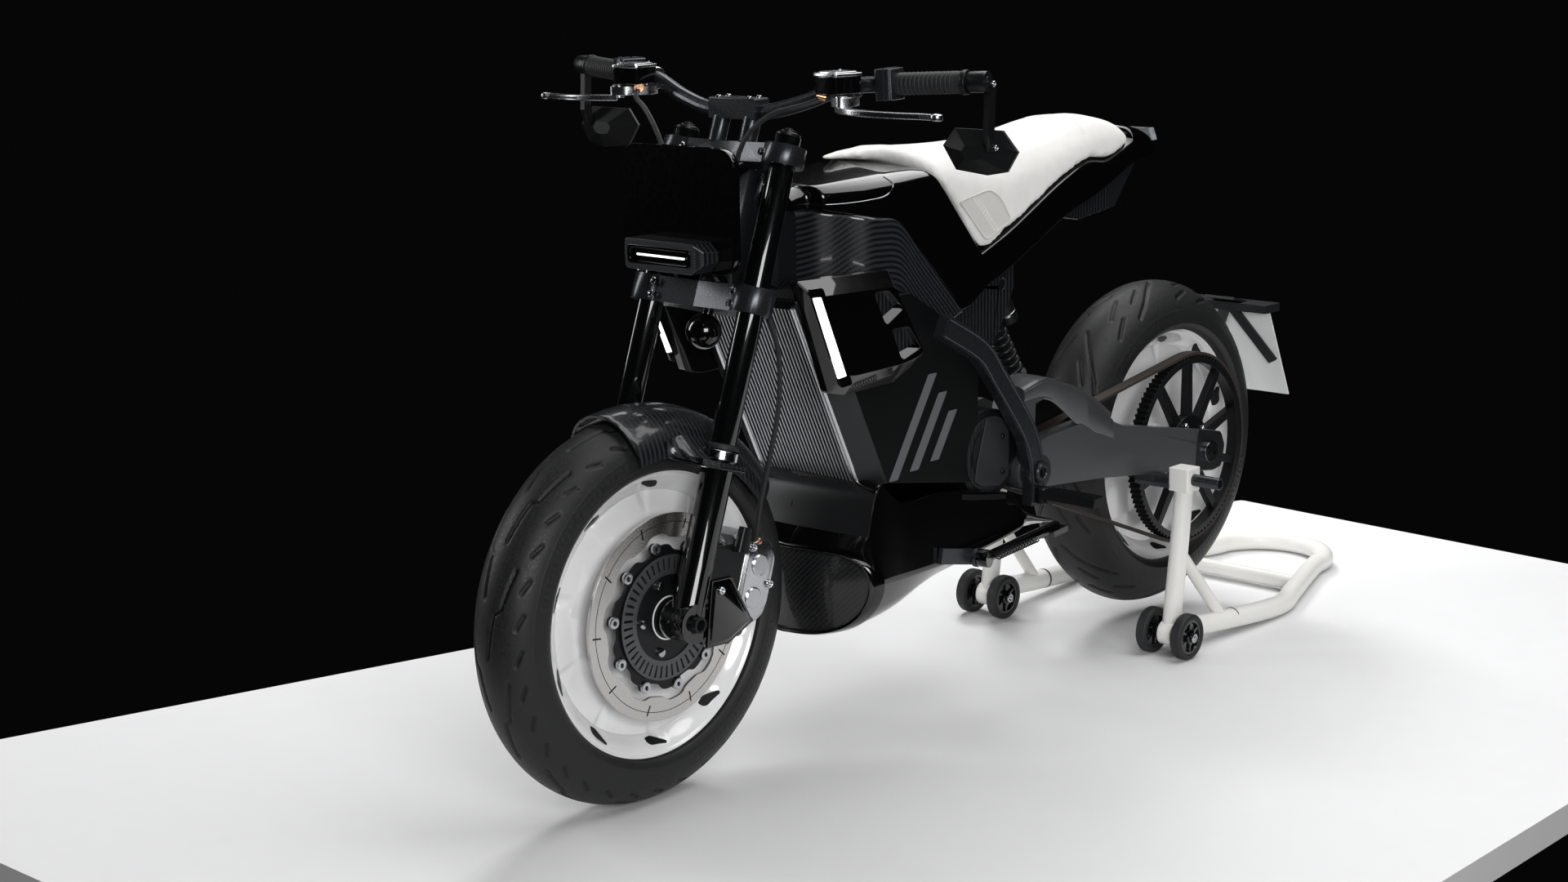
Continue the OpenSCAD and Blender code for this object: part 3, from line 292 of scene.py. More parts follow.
def carved(body, *cutters):
    """A closed body less closed cutters, by an exact boolean difference, as points and faces again."""
    block, tools = scratch_solid(body), [scratch_solid(c) for c in cutters]
    for tool in tools:
        cut = block.modifiers.new("cut", "BOOLEAN")
        cut.object, cut.operation, cut.solver = tool, "DIFFERENCE", "EXACT"
    result = points_of(block), faces_of(block)
    for scratch in (block, *tools):
        bpy.data.objects.remove(scratch)
    return result


def piece(name, body, finish, rides, hides=(), crease=32, bevel=0, levels=0, place=row, fields=None):
    """Makes one object from points and faces, merges its doubles and turns its faces outwards.
    Bevel is the edge radius in millimetres, levels the subdivision, and fields hold values on the points."""
    verts, faces = body
    mesh = bpy.data.meshes.new(name)
    mesh.from_pydata(place(verts).tolist(), [], faces if isinstance(faces, list) else faces.tolist())
    for field, values in (fields or {}).items():
        layer = mesh.attributes.new(field, "FLOAT", "POINT")
        layer.data.foreach_set("value", np.asarray(values, np.float32).ravel())
    cleaned(mesh, MERGE_M)
    mesh.materials.append(FINISH[finish])
    mesh.shade_smooth()
    mesh.set_sharp_from_angle(angle=math.radians(crease))
    obj = bpy.data.objects.new(name, mesh)
    scene.collection.objects.link(obj)
    if bevel:
        soften(obj, bevel)
    else:
        even = obj.modifiers.new("even shading", "WEIGHTED_NORMAL")
        even.keep_sharp = True
    if levels:
        rounder = obj.modifiers.new("rounder", "SUBSURF")
        rounder.levels = rounder.render_levels = levels
    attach(obj, rides)
    if hides:
        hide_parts(*hides)
    return obj


def soften(obj, radius, segments=2):
    """Rounds the sharp edges of an object by a radius in millimetres."""
    edge = obj.modifiers.new("soft edges", "BEVEL")
    edge.width = radius * MM
    edge.segments = segments
    edge.limit_method = "ANGLE"
    edge.angle_limit = math.radians(32)
    edge.harden_normals = True
    edge.use_clamp_overlap = True


# Finishes


def linear(hex_colour):
    """sRGB hex value as a linear colour."""
    srgb = np.array([int(hex_colour[i:i + 2], 16) for i in (1, 3, 5)]) / 255
    return (*np.where(srgb <= 0.04045, srgb / 12.92, ((srgb + 0.055) / 1.055)**2.4), 1.0)


def put(tree, kind, inputs=None, **settings):
    """Adds one node with its settings, and sets or links its input sockets."""
    made = tree.nodes.new("ShaderNode" + kind)
    for key, value in settings.items():
        setattr(made, key, value)
    for key, value in (inputs or {}).items():
        if isinstance(value, bpy.types.NodeSocket):
            tree.links.new(value, made.inputs[key])
        else:
            made.inputs[key].default_value = value
    return made


def surface(name, colour, **sockets):
    """A material with one principled shader; returns it with its tree, shader and object coordinates."""
    material = bpy.data.materials.new(name)
    material.use_nodes = True
    tree = material.node_tree
    shader = tree.nodes["Principled BSDF"]
    shader.inputs["Base Color"].default_value = linear(colour)
    for key, value in sockets.items():
        shader.inputs[key.replace("_", " ")].default_value = value
    where = put(tree, "TexCoord").outputs["Object"]
    return material, tree, shader, where


def feed(tree, shader, **sockets):
    """Links values to a shader's inputs, which are named with underscores."""
    for key, value in sockets.items():
        tree.links.new(value, shader.inputs[key.replace("_", " ")])


def mixed(tree, factor, a, b):
    """Colour between two tones, each a hex value or a socket."""
    a, b = (linear(tone) if isinstance(tone, str) else tone for tone in (a, b))
    return put(tree, "Mix", {"Factor": factor, "A": a, "B": b}, data_type="RGBA").outputs["Result"]


def counted(tree, operation, *values):
    """Result of one arithmetic node."""
    return put(tree, "Math", dict(enumerate(values)), operation=operation).outputs[0]


def bumped(tree, height, depth_mm, strength):
    """Surface normal lifted by a height of some depth."""
    return put(tree, "Bump", {"Height": height, "Distance": depth_mm * MM, "Strength": strength}).outputs["Normal"]


def grain(tree, shader, where, size_mm, rough, depth_mm=0.0, tones=None, stretch=(1, 1, 1)):
    """Fine unevenness of a real surface: one noise of a real grain size varies the roughness between two
    values, lifts the surface by a depth, and mixes two tones if they are given."""
    scaled = put(tree, "Mapping", {"Vector": where, "Scale": stretch}).outputs["Vector"]
    noise = put(tree, "TexNoise", {"Vector": scaled, "Scale": 1000 / size_mm, "Detail": 3.0}).outputs["Fac"]
    level = put(tree, "MapRange", {"Value": noise, "From Min": 0.3, "From Max": 0.7, "To Min": rough[0],
                                   "To Max": rough[1]})
    feed(tree, shader, Roughness=level.outputs["Result"])
    if depth_mm:
        feed(tree, shader, Normal=bumped(tree, noise, depth_mm, 1.0))
    if tones:
        feed(tree, shader, Base_Color=mixed(tree, noise, *tones))
    return noise


def grained(name, colour, size_mm, rough, depth_mm=0.0, tones=None, stretch=(1, 1, 1), **sockets):
    """A material with one shader and a grain."""
    material, *parts = surface(name, colour, **sockets)
    grain(*parts, size_mm, rough, depth_mm, tones, stretch)
    return material


def gloss_black_lacquer():
    """Black lacquer under clear coat on moulded panels: deep black, mirror-like, with a faint long ripple."""
    return grained("gloss_black_lacquer", "#050506", 9, (0.16, 0.24), 0.012, Coat_Weight=1.0, Coat_Roughness=0.02,
                   Specular_IOR_Level=0.1)


def white_wheel_paint():
    """Gloss white powder coat on a cast wheel: bright and smooth with a slight orange peel."""
    return grained("white_wheel_paint", "#ececed", 14, (0.14, 0.2), tones=("#eaeaeb", "#eeeeef"), Coat_Weight=1.0,
                   Coat_Roughness=0.03)


def tyre_rubber():
    """Moulded tyre rubber: matt grey-black with a dusty bloom; where the field groove marks the tread, the colour goes
    near black as painted shade in the grooves.
    """
    m, tree, shader, where = surface("tyre_rubber", "#1b1b1c", Specular_IOR_Level=0.35)
    noise = grain(tree, shader, where, 3.5, (0.42, 0.6), 0.1)
    groove = put(tree, "Attribute", attribute_name="groove").outputs["Fac"]
    # Painted shade: the groove field turns the tread's colour near black inside the grooves.
    feed(tree, shader, Base_Color=mixed(tree, groove, mixed(tree, noise, "#131314", "#232425"), "#070707"))
    return m


def brushed_disc_steel():
    """Ground stainless steel of a brake disc: bright, with fine rings from grinding and a warm tint."""
    return grained("brushed_disc_steel", "#d3d1ce", 1.2, (0.24, 0.3), tones=("#d0cdca", "#d8d6d3"), stretch=(1, 6, 1),
                   Metallic=1.0)


def satin_black_metal():
    """Hard-anodised aluminium: satin black, finely pebbled by blasting before the anodising."""
    return grained("satin_black_metal", "#1a1b1d", 1.2, (0.32, 0.44), 0.005, tones=("#17181a", "#1f2022"),
                   Metallic=0.55)


def graphite_anodised():
    """Graphite-grey anodised aluminium with a silk gloss: the frame tube and clamps."""
    return grained("graphite_anodised", "#3d3f43", 1.5, (0.24, 0.32), 0.002, tones=("#3a3c40", "#424448"),
                   Metallic=0.75)


def cast_grey_aluminium():
    """Sand-cast aluminium, blasted and lacquered grey: soft sheen, visible fine casting texture."""
    return grained("cast_grey_aluminium", "#5c5d5f", 1.8, (0.32, 0.44), 0.02, tones=("#565759", "#656668"),
                   Metallic=0.7)


def machined_silver():
    """Machined and tumbled aluminium: bright satin silver with fine directional tool marks."""
    return grained("machined_silver", "#c4c6c9", 2.5, (0.2, 0.3), 0.003, tones=("#bcbec1", "#cccdd0"),
                   stretch=(8, 1, 1), Metallic=1.0)


def chromed_steel():
    """Zinc-bright and chromed steel of bolts and axles: mirror bright with a little haze."""
    return grained("chromed_steel", "#b5b7ba", 4, (0.1, 0.22), Metallic=1.0)


def fork_black():
    """Black ceramic-coated fork legs: piano black with a tight highlight."""
    return grained("fork_black", "#060708", 5, (0.2, 0.28), 0.006, Coat_Weight=1.0, Coat_Roughness=0.03,
                   Specular_IOR_Level=0.1)


def carbon_weave(name="carbon_weave", plane=("X", "Z"), tow_mm=3.2, bright="#222428"):
    """Carbon twill under clear lacquer. Two over, two under: a tow is on top where the whole number of tows
    across minus those along, taken by four, is below two. Each tow is lifted as a half wave across its width,
    and the lacquer over it is smooth. The weave lies on a plane, or on the fields weave_u and weave_v in millimetres.
    The tows are drawn about half as wide again as real ones, to show."""
    m, tree, shader, where = surface(name, "#1c1d20", Coat_Weight=0.7, Coat_Roughness=0.1, Specular_IOR_Level=0.3)
    if plane == ("u", "v"):
        u, v = (counted(tree, "DIVIDE", put(tree, "Attribute", attribute_name="weave_" + axis).outputs["Fac"], tow_mm)
                for axis in plane)
    else:
        slant = math.radians(45) if plane == ("X", "Z") else 0
        tows = put(tree, "Mapping", {"Vector": where, "Rotation": (0, slant, 0), "Scale": (1000 / tow_mm,) * 3})
        axes = put(tree, "SeparateXYZ", {"Vector": tows.outputs["Vector"]}).outputs
        u, v = axes[plane[0]], axes[plane[1]]
    apart = counted(tree, "SUBTRACT", counted(tree, "FLOOR", u), counted(tree, "FLOOR", v))
    on_top = counted(tree, "LESS_THAN", counted(tree, "FLOORED_MODULO", apart, 4.0), 1.5)
    tow = put(tree, "Mix", {"Factor": on_top, "A": u, "B": v}, data_type="FLOAT").outputs["Result"]
    lift = counted(tree, "ABSOLUTE", counted(tree, "SINE", counted(tree, "MULTIPLY", tow, math.pi)))
    rough = put(tree, "MapRange", {"Value": on_top, "To Min": 0.34, "To Max": 0.5}).outputs["Result"]
    feed(tree, shader, Base_Color=mixed(tree, on_top, "#0b0c0d", bright), Roughness=rough,
         Normal=bumped(tree, lift, 0.12, 0.6))
    return m


def finned_aluminium():
    """Extruded heat-sink aluminium, black in the gaps and bare bright on the fins' edges."""
    return grained("finned_aluminium", "#a9abae", 2, (0.34, 0.48), 0.01, tones=("#9d9fa2", "#b6b8bb"),
                   stretch=(1, 1, 0.1), Metallic=0.85)


def battery_lacquer():
    """Dark satin lacquer of the battery case: near black with a soft sheen and fine texture."""
    return grained("battery_lacquer", "#060708", 2, (0.42, 0.54), 0.01, Specular_IOR_Level=0.12)


def grey_marking():
    """Matt grey vinyl of the stripes on the battery's side: even, with a faint pebble."""
    return grained("grey_marking", "#55575a", 1.5, (0.5, 0.65), 0.02, tones=("#505255", "#5b5d60"))


def facet_grey():
    """Dark grey satin lacquer of the battery's edge strips and the motor's half-moon: low sheen, finely textured."""
    return grained("facet_grey", "#2b2c2e", 2, (0.36, 0.48), 0.01, tones=("#272829", "#313234"), Metallic=0.3)


def copper_washer():
    """Copper-coloured anodised banjo bolts: warm, with a tight highlight."""
    return grained("copper_washer", "#b98d6e", 2, (0.2, 0.32), Metallic=1.0)


def mirror_glass():
    """Silvered mirror glass, a little dark."""
    return grained("mirror_glass", "#aab0b6", 8, (0.02, 0.05), Metallic=1.0)


def moulded_rubber():
    """Soft moulded rubber of grips, hoses and pads: dull black with a fine pebble."""
    return grained("moulded_rubber", "#1d1e20", 0.9, (0.5, 0.68), 0.06, tones=("#18191b", "#252628"),
                   Specular_IOR_Level=0.4)


def moulded_plastic():
    """Injection-moulded black nylon of switch boxes and brackets: low sheen with a spark-eroded texture."""
    return grained("moulded_plastic", "#1b1c1e", 0.8, (0.34, 0.5), 0.03, tones=("#161719", "#212225"),
                   Specular_IOR_Level=0.45)


def belt_rubber():
    """Fabric-faced toothed belt: brown-black, dull, with a fine cloth grain."""
    return grained("belt_rubber", "#2c2522", 1.4, (0.55, 0.75), 0.05, tones=("#221c1a", "#3a312d"),
                   Specular_IOR_Level=0.3)


def white_stand_paint():
    """Off-white powder coat on steel tube: soft gloss with a fine orange peel."""
    return grained("white_stand_paint", "#ecebe6", 3, (0.32, 0.44), 0.03, tones=("#e6e5e0", "#f0efeb"), Coat_Weight=0.2,
                   Coat_Roughness=0.2)


def blank_plate():
    """Reflective white plate sheet: faintly beaded, soft gloss."""
    return grained("blank_plate", "#e8eaea", 1, (0.3, 0.45), 0.02, tones=("#e2e4e4", "#eef0f0"), Coat_Weight=0.3,
                   Coat_Roughness=0.1)


def clear_lens():
    """Clear moulded polycarbonate of lamp covers: bright edges, slightly smoky."""
    return grained("clear_lens", "#e9eef2", 5, (0.03, 0.1), IOR=1.58, Transmission_Weight=0.85)


def lit_strip():
    """Light guide that is switched on: an even white glow."""
    m, tree, shader, where = surface("lit_strip", "#ffffff", Emission_Strength=1.6)
    noise = grain(tree, shader, where, 12, (0.2, 0.3))
    feed(tree, shader, Emission_Color=mixed(tree, noise, "#f4f8ff", "#ffffff"))
    return m


def white_leather():
    """Dyed full-grain leather, white: soft sheen, pores and fine creases about two millimetres apart, faintly warm."""
    m, tree, shader, where = surface("white_leather", "#e7e6e3", Sheen_Weight=0.15, Sheen_Roughness=0.4)
    cells = put(tree, "TexVoronoi", {"Vector": where, "Scale": 1000 / 2.2}, feature="SMOOTH_F1").outputs["Distance"]
    noise = put(tree, "TexNoise", {"Vector": where, "Scale": 1000 / 26, "Detail": 4.0}).outputs["Fac"]
    rough = put(tree, "MapRange", {"Value": cells, "From Max": 0.8, "To Min": 0.42, "To Max": 0.6}).outputs["Result"]
    feed(tree, shader, Base_Color=mixed(tree, noise, "#dfdedb", "#eeedea"), Roughness=rough,
         Normal=bumped(tree, cells, 0.12, 0.6))
    return m


def grey_suede():
    """Pale grey suede of the side pad: matt, with a short nap that lightens and darkens in patches."""
    return grained("grey_suede", "#c9c7c3", 1.6, (0.8, 0.95), 0.12, tones=("#bcbab6", "#d3d1cd"), Sheen_Weight=0.5,
                   Sheen_Roughness=0.5, Specular_IOR_Level=0.2)


FINISH = {make.__name__: make() for make in (
    gloss_black_lacquer, white_wheel_paint, tyre_rubber, brushed_disc_steel, satin_black_metal, graphite_anodised,
    cast_grey_aluminium, machined_silver, chromed_steel, fork_black, carbon_weave, finned_aluminium, battery_lacquer,
    moulded_rubber, moulded_plastic, belt_rubber, white_stand_paint, blank_plate, clear_lens, lit_strip, white_leather,
    grey_suede, grey_marking, facet_grey, copper_washer, mirror_glass)}
FINISH["carbon_front"] = carbon_weave("carbon_front", ("Y", "Z"), 2.4, "#17181a")
FINISH["carbon_laid"] = carbon_weave("carbon_laid", ("u", "v"))

# Solids by their finish, and by the radius of their edges in millimetres; at 0 the edges stay as they are
NODE_FINISH = {
    "tyre_rubber": {0: "front_tyre rear_tyre"},
    "white_wheel_paint": {1.5: "front_rim rear_rim"},
    "brushed_disc_steel": {0.5: "front_disc rear_disc"},
    "satin_black_metal": {0.6: "front_disc_carrier shock_absorber", 0.8: "front_axle", 1.5: "mirrors",
                          1: "motor pivot_bolts footpegs rear_pulley", 2: "rear_caliper"},
    "fork_black": {1: "fork_tubes side_stand", 1.5: "fork_sliders"},
    "graphite_anodised": {2: "fork_clamps", 0: "handlebar", 3: "frame"},
    "carbon_weave": {1: "front_fender", 1.5: "light_bar", 3: "carbon_cover rear_carbon", 4: "belly_nose"},
    "machined_silver": {3: "front_caliper", 2: "hand_levers"},
    "gloss_black_lacquer": {1.5: "fork_guards", 2: "front_panel", 0: "horn", 5: "tank_shell",
                            4: "tail_shell belly_fairing", 3: "side_lamps"},
    "moulded_rubber": {0: "grips brake_hoses", 1: "stand_pads", 1.5: "castors_left castors_right"},
    "moulded_plastic": {3: "hand_controls", 1: "plate_holder"},
    "battery_lacquer": {2: "battery_case"},
    "finned_aluminium": {0: "heat_sink"},
    "blank_plate": {6: "seat", 0.6: "number_plate"},
    "clear_lens": {1: "tail_light"},
    "lit_strip": {0.5: "lamp_strips"},
    "belt_rubber": {0: "drive_belt"},
    "cast_grey_aluminium": {4: "swingarm"},
    "chromed_steel": {1: "rear_axle"},
    "white_stand_paint": {2: "stand_frame"},
}
for finish_name, edges in NODE_FINISH.items():
    for edge_mm, names in edges.items():
        for solid in (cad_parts[name] for name in names.split()):
            solid.data.materials.clear()
            solid.data.materials.append(FINISH[finish_name])
            if edge_mm:
                solid.modifiers.new("weld", "WELD").merge_threshold = WELD_M
                soften(solid, edge_mm)


# Wheels


def size_of(node):
    """Lengths of a CAD node's box along x, y and z, in millimetres."""
    low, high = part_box(node)
    return np.array(high - low) / MM


def on_rear(points):
    """Millimetres from the rear axle as metres."""
    return np.asarray(points, float) * MM + REAR_AXLE


def step(low, high, x):
    """Smooth step from 0 at low to 1 at high."""
    t = np.clip((x - low) / (high - low), 0, 1)
    return t * t * (3 - 2 * t)


def groove_field(a, t, pitch, lines, half_w):
    """How deep in a groove each tread point lies, 0 to 1: one minus the distance to the nearest groove line,
    stepped at its half width. A groove repeats every pitch along a."""
    field = np.zeros_like(a)
    for line in lines:
        for (a0, t0), (a1, t1) in zip(line, line[1:]):
            mid, d = (a0 + a1) / 2, np.array([a1 - a0, t1 - t0], float)
            x = (a - mid + pitch / 2) % pitch - pitch / 2 - (a0 - mid)
            y = t - t0
            share = np.clip((x * d[0] + y * d[1]) / (d @ d), 0, 1)
            off = np.hypot(x - share * d[0], y - share * d[1])
            field = np.maximum(field, 1 - step(half_w - 1.6, half_w + 1.6, off))
    return field


RIM_EDGE_R = 232
TYRE_ROUND, TYRE_ACROSS = 560, 100
TREAD_DEPTH = 2.8
BEAD = ((226, 0.93), (220, 0.86))


def tyre(name, node, pitches, lines, half_w, place, rides):
    """Tyre skin: a circle section carried around the axle. The tread's grooves are pressed in by their field, and
    on the walls ribs and rings are raised by square and bell waves of the angle and of the section's turn."""
    size = size_of(node)
    outer, half = size[2] / 2, size[1] / 2
    edge = math.acos((RIM_EDGE_R - outer + half) / half)
    turn = np.linspace(-edge, edge, TYRE_ACROSS)[None, :]
    angle = np.linspace(0, 2 * np.pi, TYRE_ROUND, endpoint=False)[:, None]
    pitch = 2 * np.pi * outer / pitches
    along, across = angle * outer + 0 * turn, half * turn + 0 * angle
    left = groove_field(along, across, pitch, lines, half_w)
    right = groove_field(along + pitch / 2, -across, pitch, lines, half_w)
    groove = np.maximum(left, right)
    wall = np.abs(turn)
    ribs = step(1.34, 1.38, wall) * (1 - step(1.5, 1.54, wall)) * (np.sin(angle * 150) > 0) * (np.sin(angle * 2) > 0.45)
    rings = sum(np.exp(-((wall - w) / 0.022)**2) for w in (1.28, 1.6)) + 0 * angle
    r = half - TREAD_DEPTH * groove + 0.7 * ribs + 0.6 * rings
    radius, y = outer - half + r * np.cos(turn), r * np.sin(turn)
    bead_r, bead_y = np.array(BEAD).T
    sides = [np.broadcast_to(b, (TYRE_ROUND, len(BEAD))) for b in (bead_r, bead_y * half)]
    radius = np.hstack([sides[0][:, ::-1], radius, sides[0]])
    y = np.hstack([-sides[1][:, ::-1], y, sides[1]])
    grid = np.stack([radius * np.sin(angle), y, radius * np.cos(angle)], -1)
    # The groove field also goes on the points, where the tyre's finish paints shade into the grooves.
    field = np.pad(groove, ((0, 0), (len(BEAD), len(BEAD))))
    faces = quads(TYRE_ROUND, TYRE_ACROSS + 2 * len(BEAD), wrap_rows=True, wrap_cols=True)
    return piece(name, (grid.reshape(-1, 3), faces), "tyre_rubber", rides, (node,), crease=60,
                 place=place, fields={"groove": field})


# Groove lines of one pitch, from the tyre's middle line: millimetres around and across
FRONT_TREAD = ([(0, 36), (62, 25), (70, 15), (134, 7)], [(10, 60), (32, 50)], [(66, 60), (88, 50)],
               [(122, 60), (144, 50)])
REAR_TREAD = ([(0, 8), (18, 18), (92, 62)], [(60, 20), (104, 40)], [(84, 56), (120, 72)], [(120, 14), (170, 34)],
              [(150, 50), (196, 68)])
tyre("front_tyre_treaded", "front_tyre", 11, FRONT_TREAD, 2.4, row, "front_wheel")
tyre("rear_tyre_treaded", "rear_tyre", 9, REAR_TREAD, 2.8, on_rear, "rear_wheel")

RIM_ROUND, DISH_STEPS = 360, 34
RIM_SLOTS = 10
SLOT_R = 201
DISH_Y = 26
DISH_R = 188
# Outline of one slot from its middle: millimetres around and outwards
SLOT = [(-19, -7), (-7, -8), (5, -3), (20, 5), (18, 8), (3, 5), (-12, 4), (-18, 0)]


def slope_y(r, half):
    """Height of the wheel's outer skin: flat across the dish, then a smooth rise to the lip."""
    return DISH_Y + (half - 5 - DISH_Y) * step(DISH_R - 6, 222, r)


def rim(name, node, half, hub_half, bore_r, place, rides):
    """Dished disc wheel: one closed section of radius and y carried around. Beside each slot a flute, a wedge that
    deepens towards the slot, is pressed in. Each slot itself is a thin dark inset laid on the dish: painted shade for
    the opening."""
    dish = np.linspace(DISH_R, 62, DISH_STEPS)
    lip_r = np.array([RIM_EDGE_R - 6, RIM_EDGE_R, RIM_EDGE_R, RIM_EDGE_R - 3, 224, 219])
    lip_y = np.array([half - 7, half - 6, half - 1.5, half, half - 0.4, half - 3])
    slope_r = np.linspace(216, DISH_R + 3, 22)
    r = np.concatenate([[210], lip_r, slope_r, dish, [58, 44, 36, 34, 34, bore_r]])
    y = np.concatenate([[0], lip_y, slope_y(slope_r, half), np.full(DISH_STEPS, DISH_Y),
                        [DISH_Y, DISH_Y, DISH_Y + 1, DISH_Y + 4, hub_half, hub_half]])
    turn = np.linspace(0, 2 * np.pi, RIM_ROUND, endpoint=False)[:, None]
    sector = 2 * np.pi / RIM_SLOTS
    u = ((turn + sector / 2) % sector - sector / 2) * r
    flute_w = np.clip((r - 128) / 76, 0, 1) * 30
    flute = step(0, 9, u + 10) * step(flute_w - 4, flute_w - 18, u) * step(128, 192, r) * step(212, 200, r)
    side = np.stack([r * np.sin(turn), y - 3.2 * flute, r * np.cos(turn)], -1)
    left = (side.reshape(-1, 3), quads(RIM_ROUND, len(r), wrap_rows=True).tolist())
    piece(name, mirrored(left), "white_wheel_paint", rides, (node,), crease=40, place=place)
    # Slots: dark insets on the dish face, painted shade where the wheel's openings are.
    around_mm, out = rounded(SLOT, 3, 4).T
    slot_r = SLOT_R + out
    angle = around_mm / slot_r
    ring = np.stack([slot_r * np.sin(angle), slope_y(slot_r, half), slot_r * np.cos(angle)], -1)
    slot = skin(np.stack([ring - [0, 4, 0], ring + [0, 0.4, 0]]))
    piece(name + "_painted_slot_shade", mirrored(spun(slot, RIM_SLOTS)), "satin_black_metal", rides, place=place)


rim("front_wheel_dish", "front_rim", 53, 72, 12.6, row, "front_wheel")
rim("rear_wheel_dish", "rear_rim", 57, 98, 12.6, on_rear, "rear_wheel")

DISC_Y, DISC_T = 62, 5
DISC_OUTER, DISC_INNER = 160, 119
BOBBINS, BOBBIN_START = 10, math.radians(10)
SENSOR_TEETH = 46


def ring_plate(outer_r, inner_r, low, high, steps=360):
    """Flat ring; each of its two edges is a radius, or a radius as a function of the angle."""
    turn = np.linspace(0, 2 * np.pi, steps, endpoint=False)
    outer, inner = (r(turn) if callable(r) else np.full(steps, float(r)) for r in (outer_r, inner_r))
    edges = ((outer, low), (outer, high), (inner, high), (inner, low))
    grid = np.stack([np.stack([r * np.sin(turn), np.full(steps, y), r * np.cos(turn)], -1) for r, y in edges], 1)
    return grid.reshape(-1, 3), quads(steps, 4, wrap_rows=True, wrap_cols=True).tolist()


def wave(mean, height, count, phase=0.0):
    """Radius that swings around a mean a number of times in one turn, with flattened crests."""
    return lambda turn: mean + height * np.tanh(2 * np.sin(count * turn + phase))


def front_brake():
    """Floating brake disc with a stepped inner edge, its ten bobbins, and the slotted sensor ring on the carrier."""
    ring = ring_plate(DISC_OUTER - 1, wave(DISC_INNER + 7, 4.5, BOBBINS, 0.4), DISC_Y, DISC_Y + DISC_T)
    piece("front_disc_ring", ring, "brushed_disc_steel", "front_wheel", ("front_disc",), bevel=0.5)
    band = ring_plate(DISC_OUTER - 14, DISC_OUTER - 15, DISC_Y + DISC_T - 0.1, DISC_Y + DISC_T + 0.15)
    piece("front_disc_swept_edge", band, "satin_black_metal", "front_wheel")
    hole = [(3.2, 66.4), (3.2, 70.2), (5.4, 70.8), (8.6, 70.4), (9.2, 69.4), (9.2, 66.4)]
    bobbin = moved(turned(hole, 24), (0, 0, DISC_INNER - 9))
    piece("front_disc_bobbins", spun(bobbin, BOBBINS, BOBBIN_START), "machined_silver", "front_wheel")
    # Slits: thin dark strips on the disc face, painted shade for the cut slits.
    slit = prism(rounded([(-1.2, 0), (1.2, 0), (1.2, 17), (-1.2, 17)], 1.1, 4), DISC_Y + DISC_T - 0.2,
                 DISC_Y + DISC_T + 0.25)
    slits = spun(moved(slit, (22, 0, DISC_INNER + 14)), BOBBINS, BOBBIN_START)
    piece("front_disc_slit_shade", slits, "satin_black_metal", "front_wheel")
    plate = ring_plate(96, 92, 68.6, 70.8)
    inner = ring_plate(74, 66, 68.6, 70.8)
    tooth = prism(rounded([(-3.4, 73), (3.4, 73), (4.2, 93), (-4.2, 93)], 0.8, 3), 68.8, 70.6)
    bars = spun(tooth, SENSOR_TEETH)
    piece("front_sensor_ring", joined([plate, inner, bars]), "cast_grey_aluminium", "front_wheel",
          bevel=0.3)
    backing = ring_plate(wave(107, 5, BOBBINS, 1.4), 60, 63.5, 66.5)
    piece("front_disc_spider", backing, "satin_black_metal", "front_wheel", bevel=0.5)
    hub = turned([(13, 60), (13, 73), (24, 73.2), (30, 72.8), (35, 70.5), (35, 60)], 48)
    piece("front_hub_cover", hub, "satin_black_metal", "front_wheel")
    head = turned([(0, 75), (3.4, 75), (6.2, 74.4), (7.2, 72.8), (7.2, 69)], 20, closed=False)
    bolts = spun(moved(head, (0, 0, 54)), 5, 0.3)
    piece("front_carrier_bolts", bolts, "chromed_steel", "front_wheel")


front_brake()


# Body shells


def shell_rings(stations, radii, steps=6, bend=6):
    """Rings of a body that is alike on both sides. Each station lists its left points from the top middle to the
    bottom middle; the points are carried from station to station on smooth curves, mirrored, and each section's
    corners are rounded by their own radius."""
    table = np.asarray(stations, float)
    m, n = table.shape[:2]
    left = smooth(table.reshape(m, -1), steps).reshape(-1, n, 3)
    loop = np.concatenate([left, (left * [1, -1, 1])[:, -2:0:-1]], 1)
    r = np.asarray(radii, float)
    corner = np.concatenate([r, r[-2:0:-1]])[:, None]
    return rounded(loop, corner, bend)


def laid_on(target, points, direction):
    """Places thrown along a direction onto an object's surface."""
    mesh = bpy.data.meshes.new("laid")
    mesh.from_pydata(row(points).tolist(), [], [])
    probe = bpy.data.objects.new("laid", mesh)
    scene.collection.objects.link(probe)
    wrap = probe.modifiers.new("wrap", "SHRINKWRAP")
    wrap.target, wrap.wrap_method, wrap.wrap_mode, wrap.offset = target, "PROJECT", "ABOVE_SURFACE", 0.0
    wrap.use_project_x, wrap.use_project_y, wrap.use_project_z = (abs(c) > 0.5 for c in direction)
    wrap.use_negative_direction, wrap.use_positive_direction = min(direction) < 0, max(direction) > 0
    found = (points_of(probe) - FRONT_AXLE) / MM
    bpy.data.objects.remove(probe)
    bpy.data.meshes.remove(mesh)
    return found


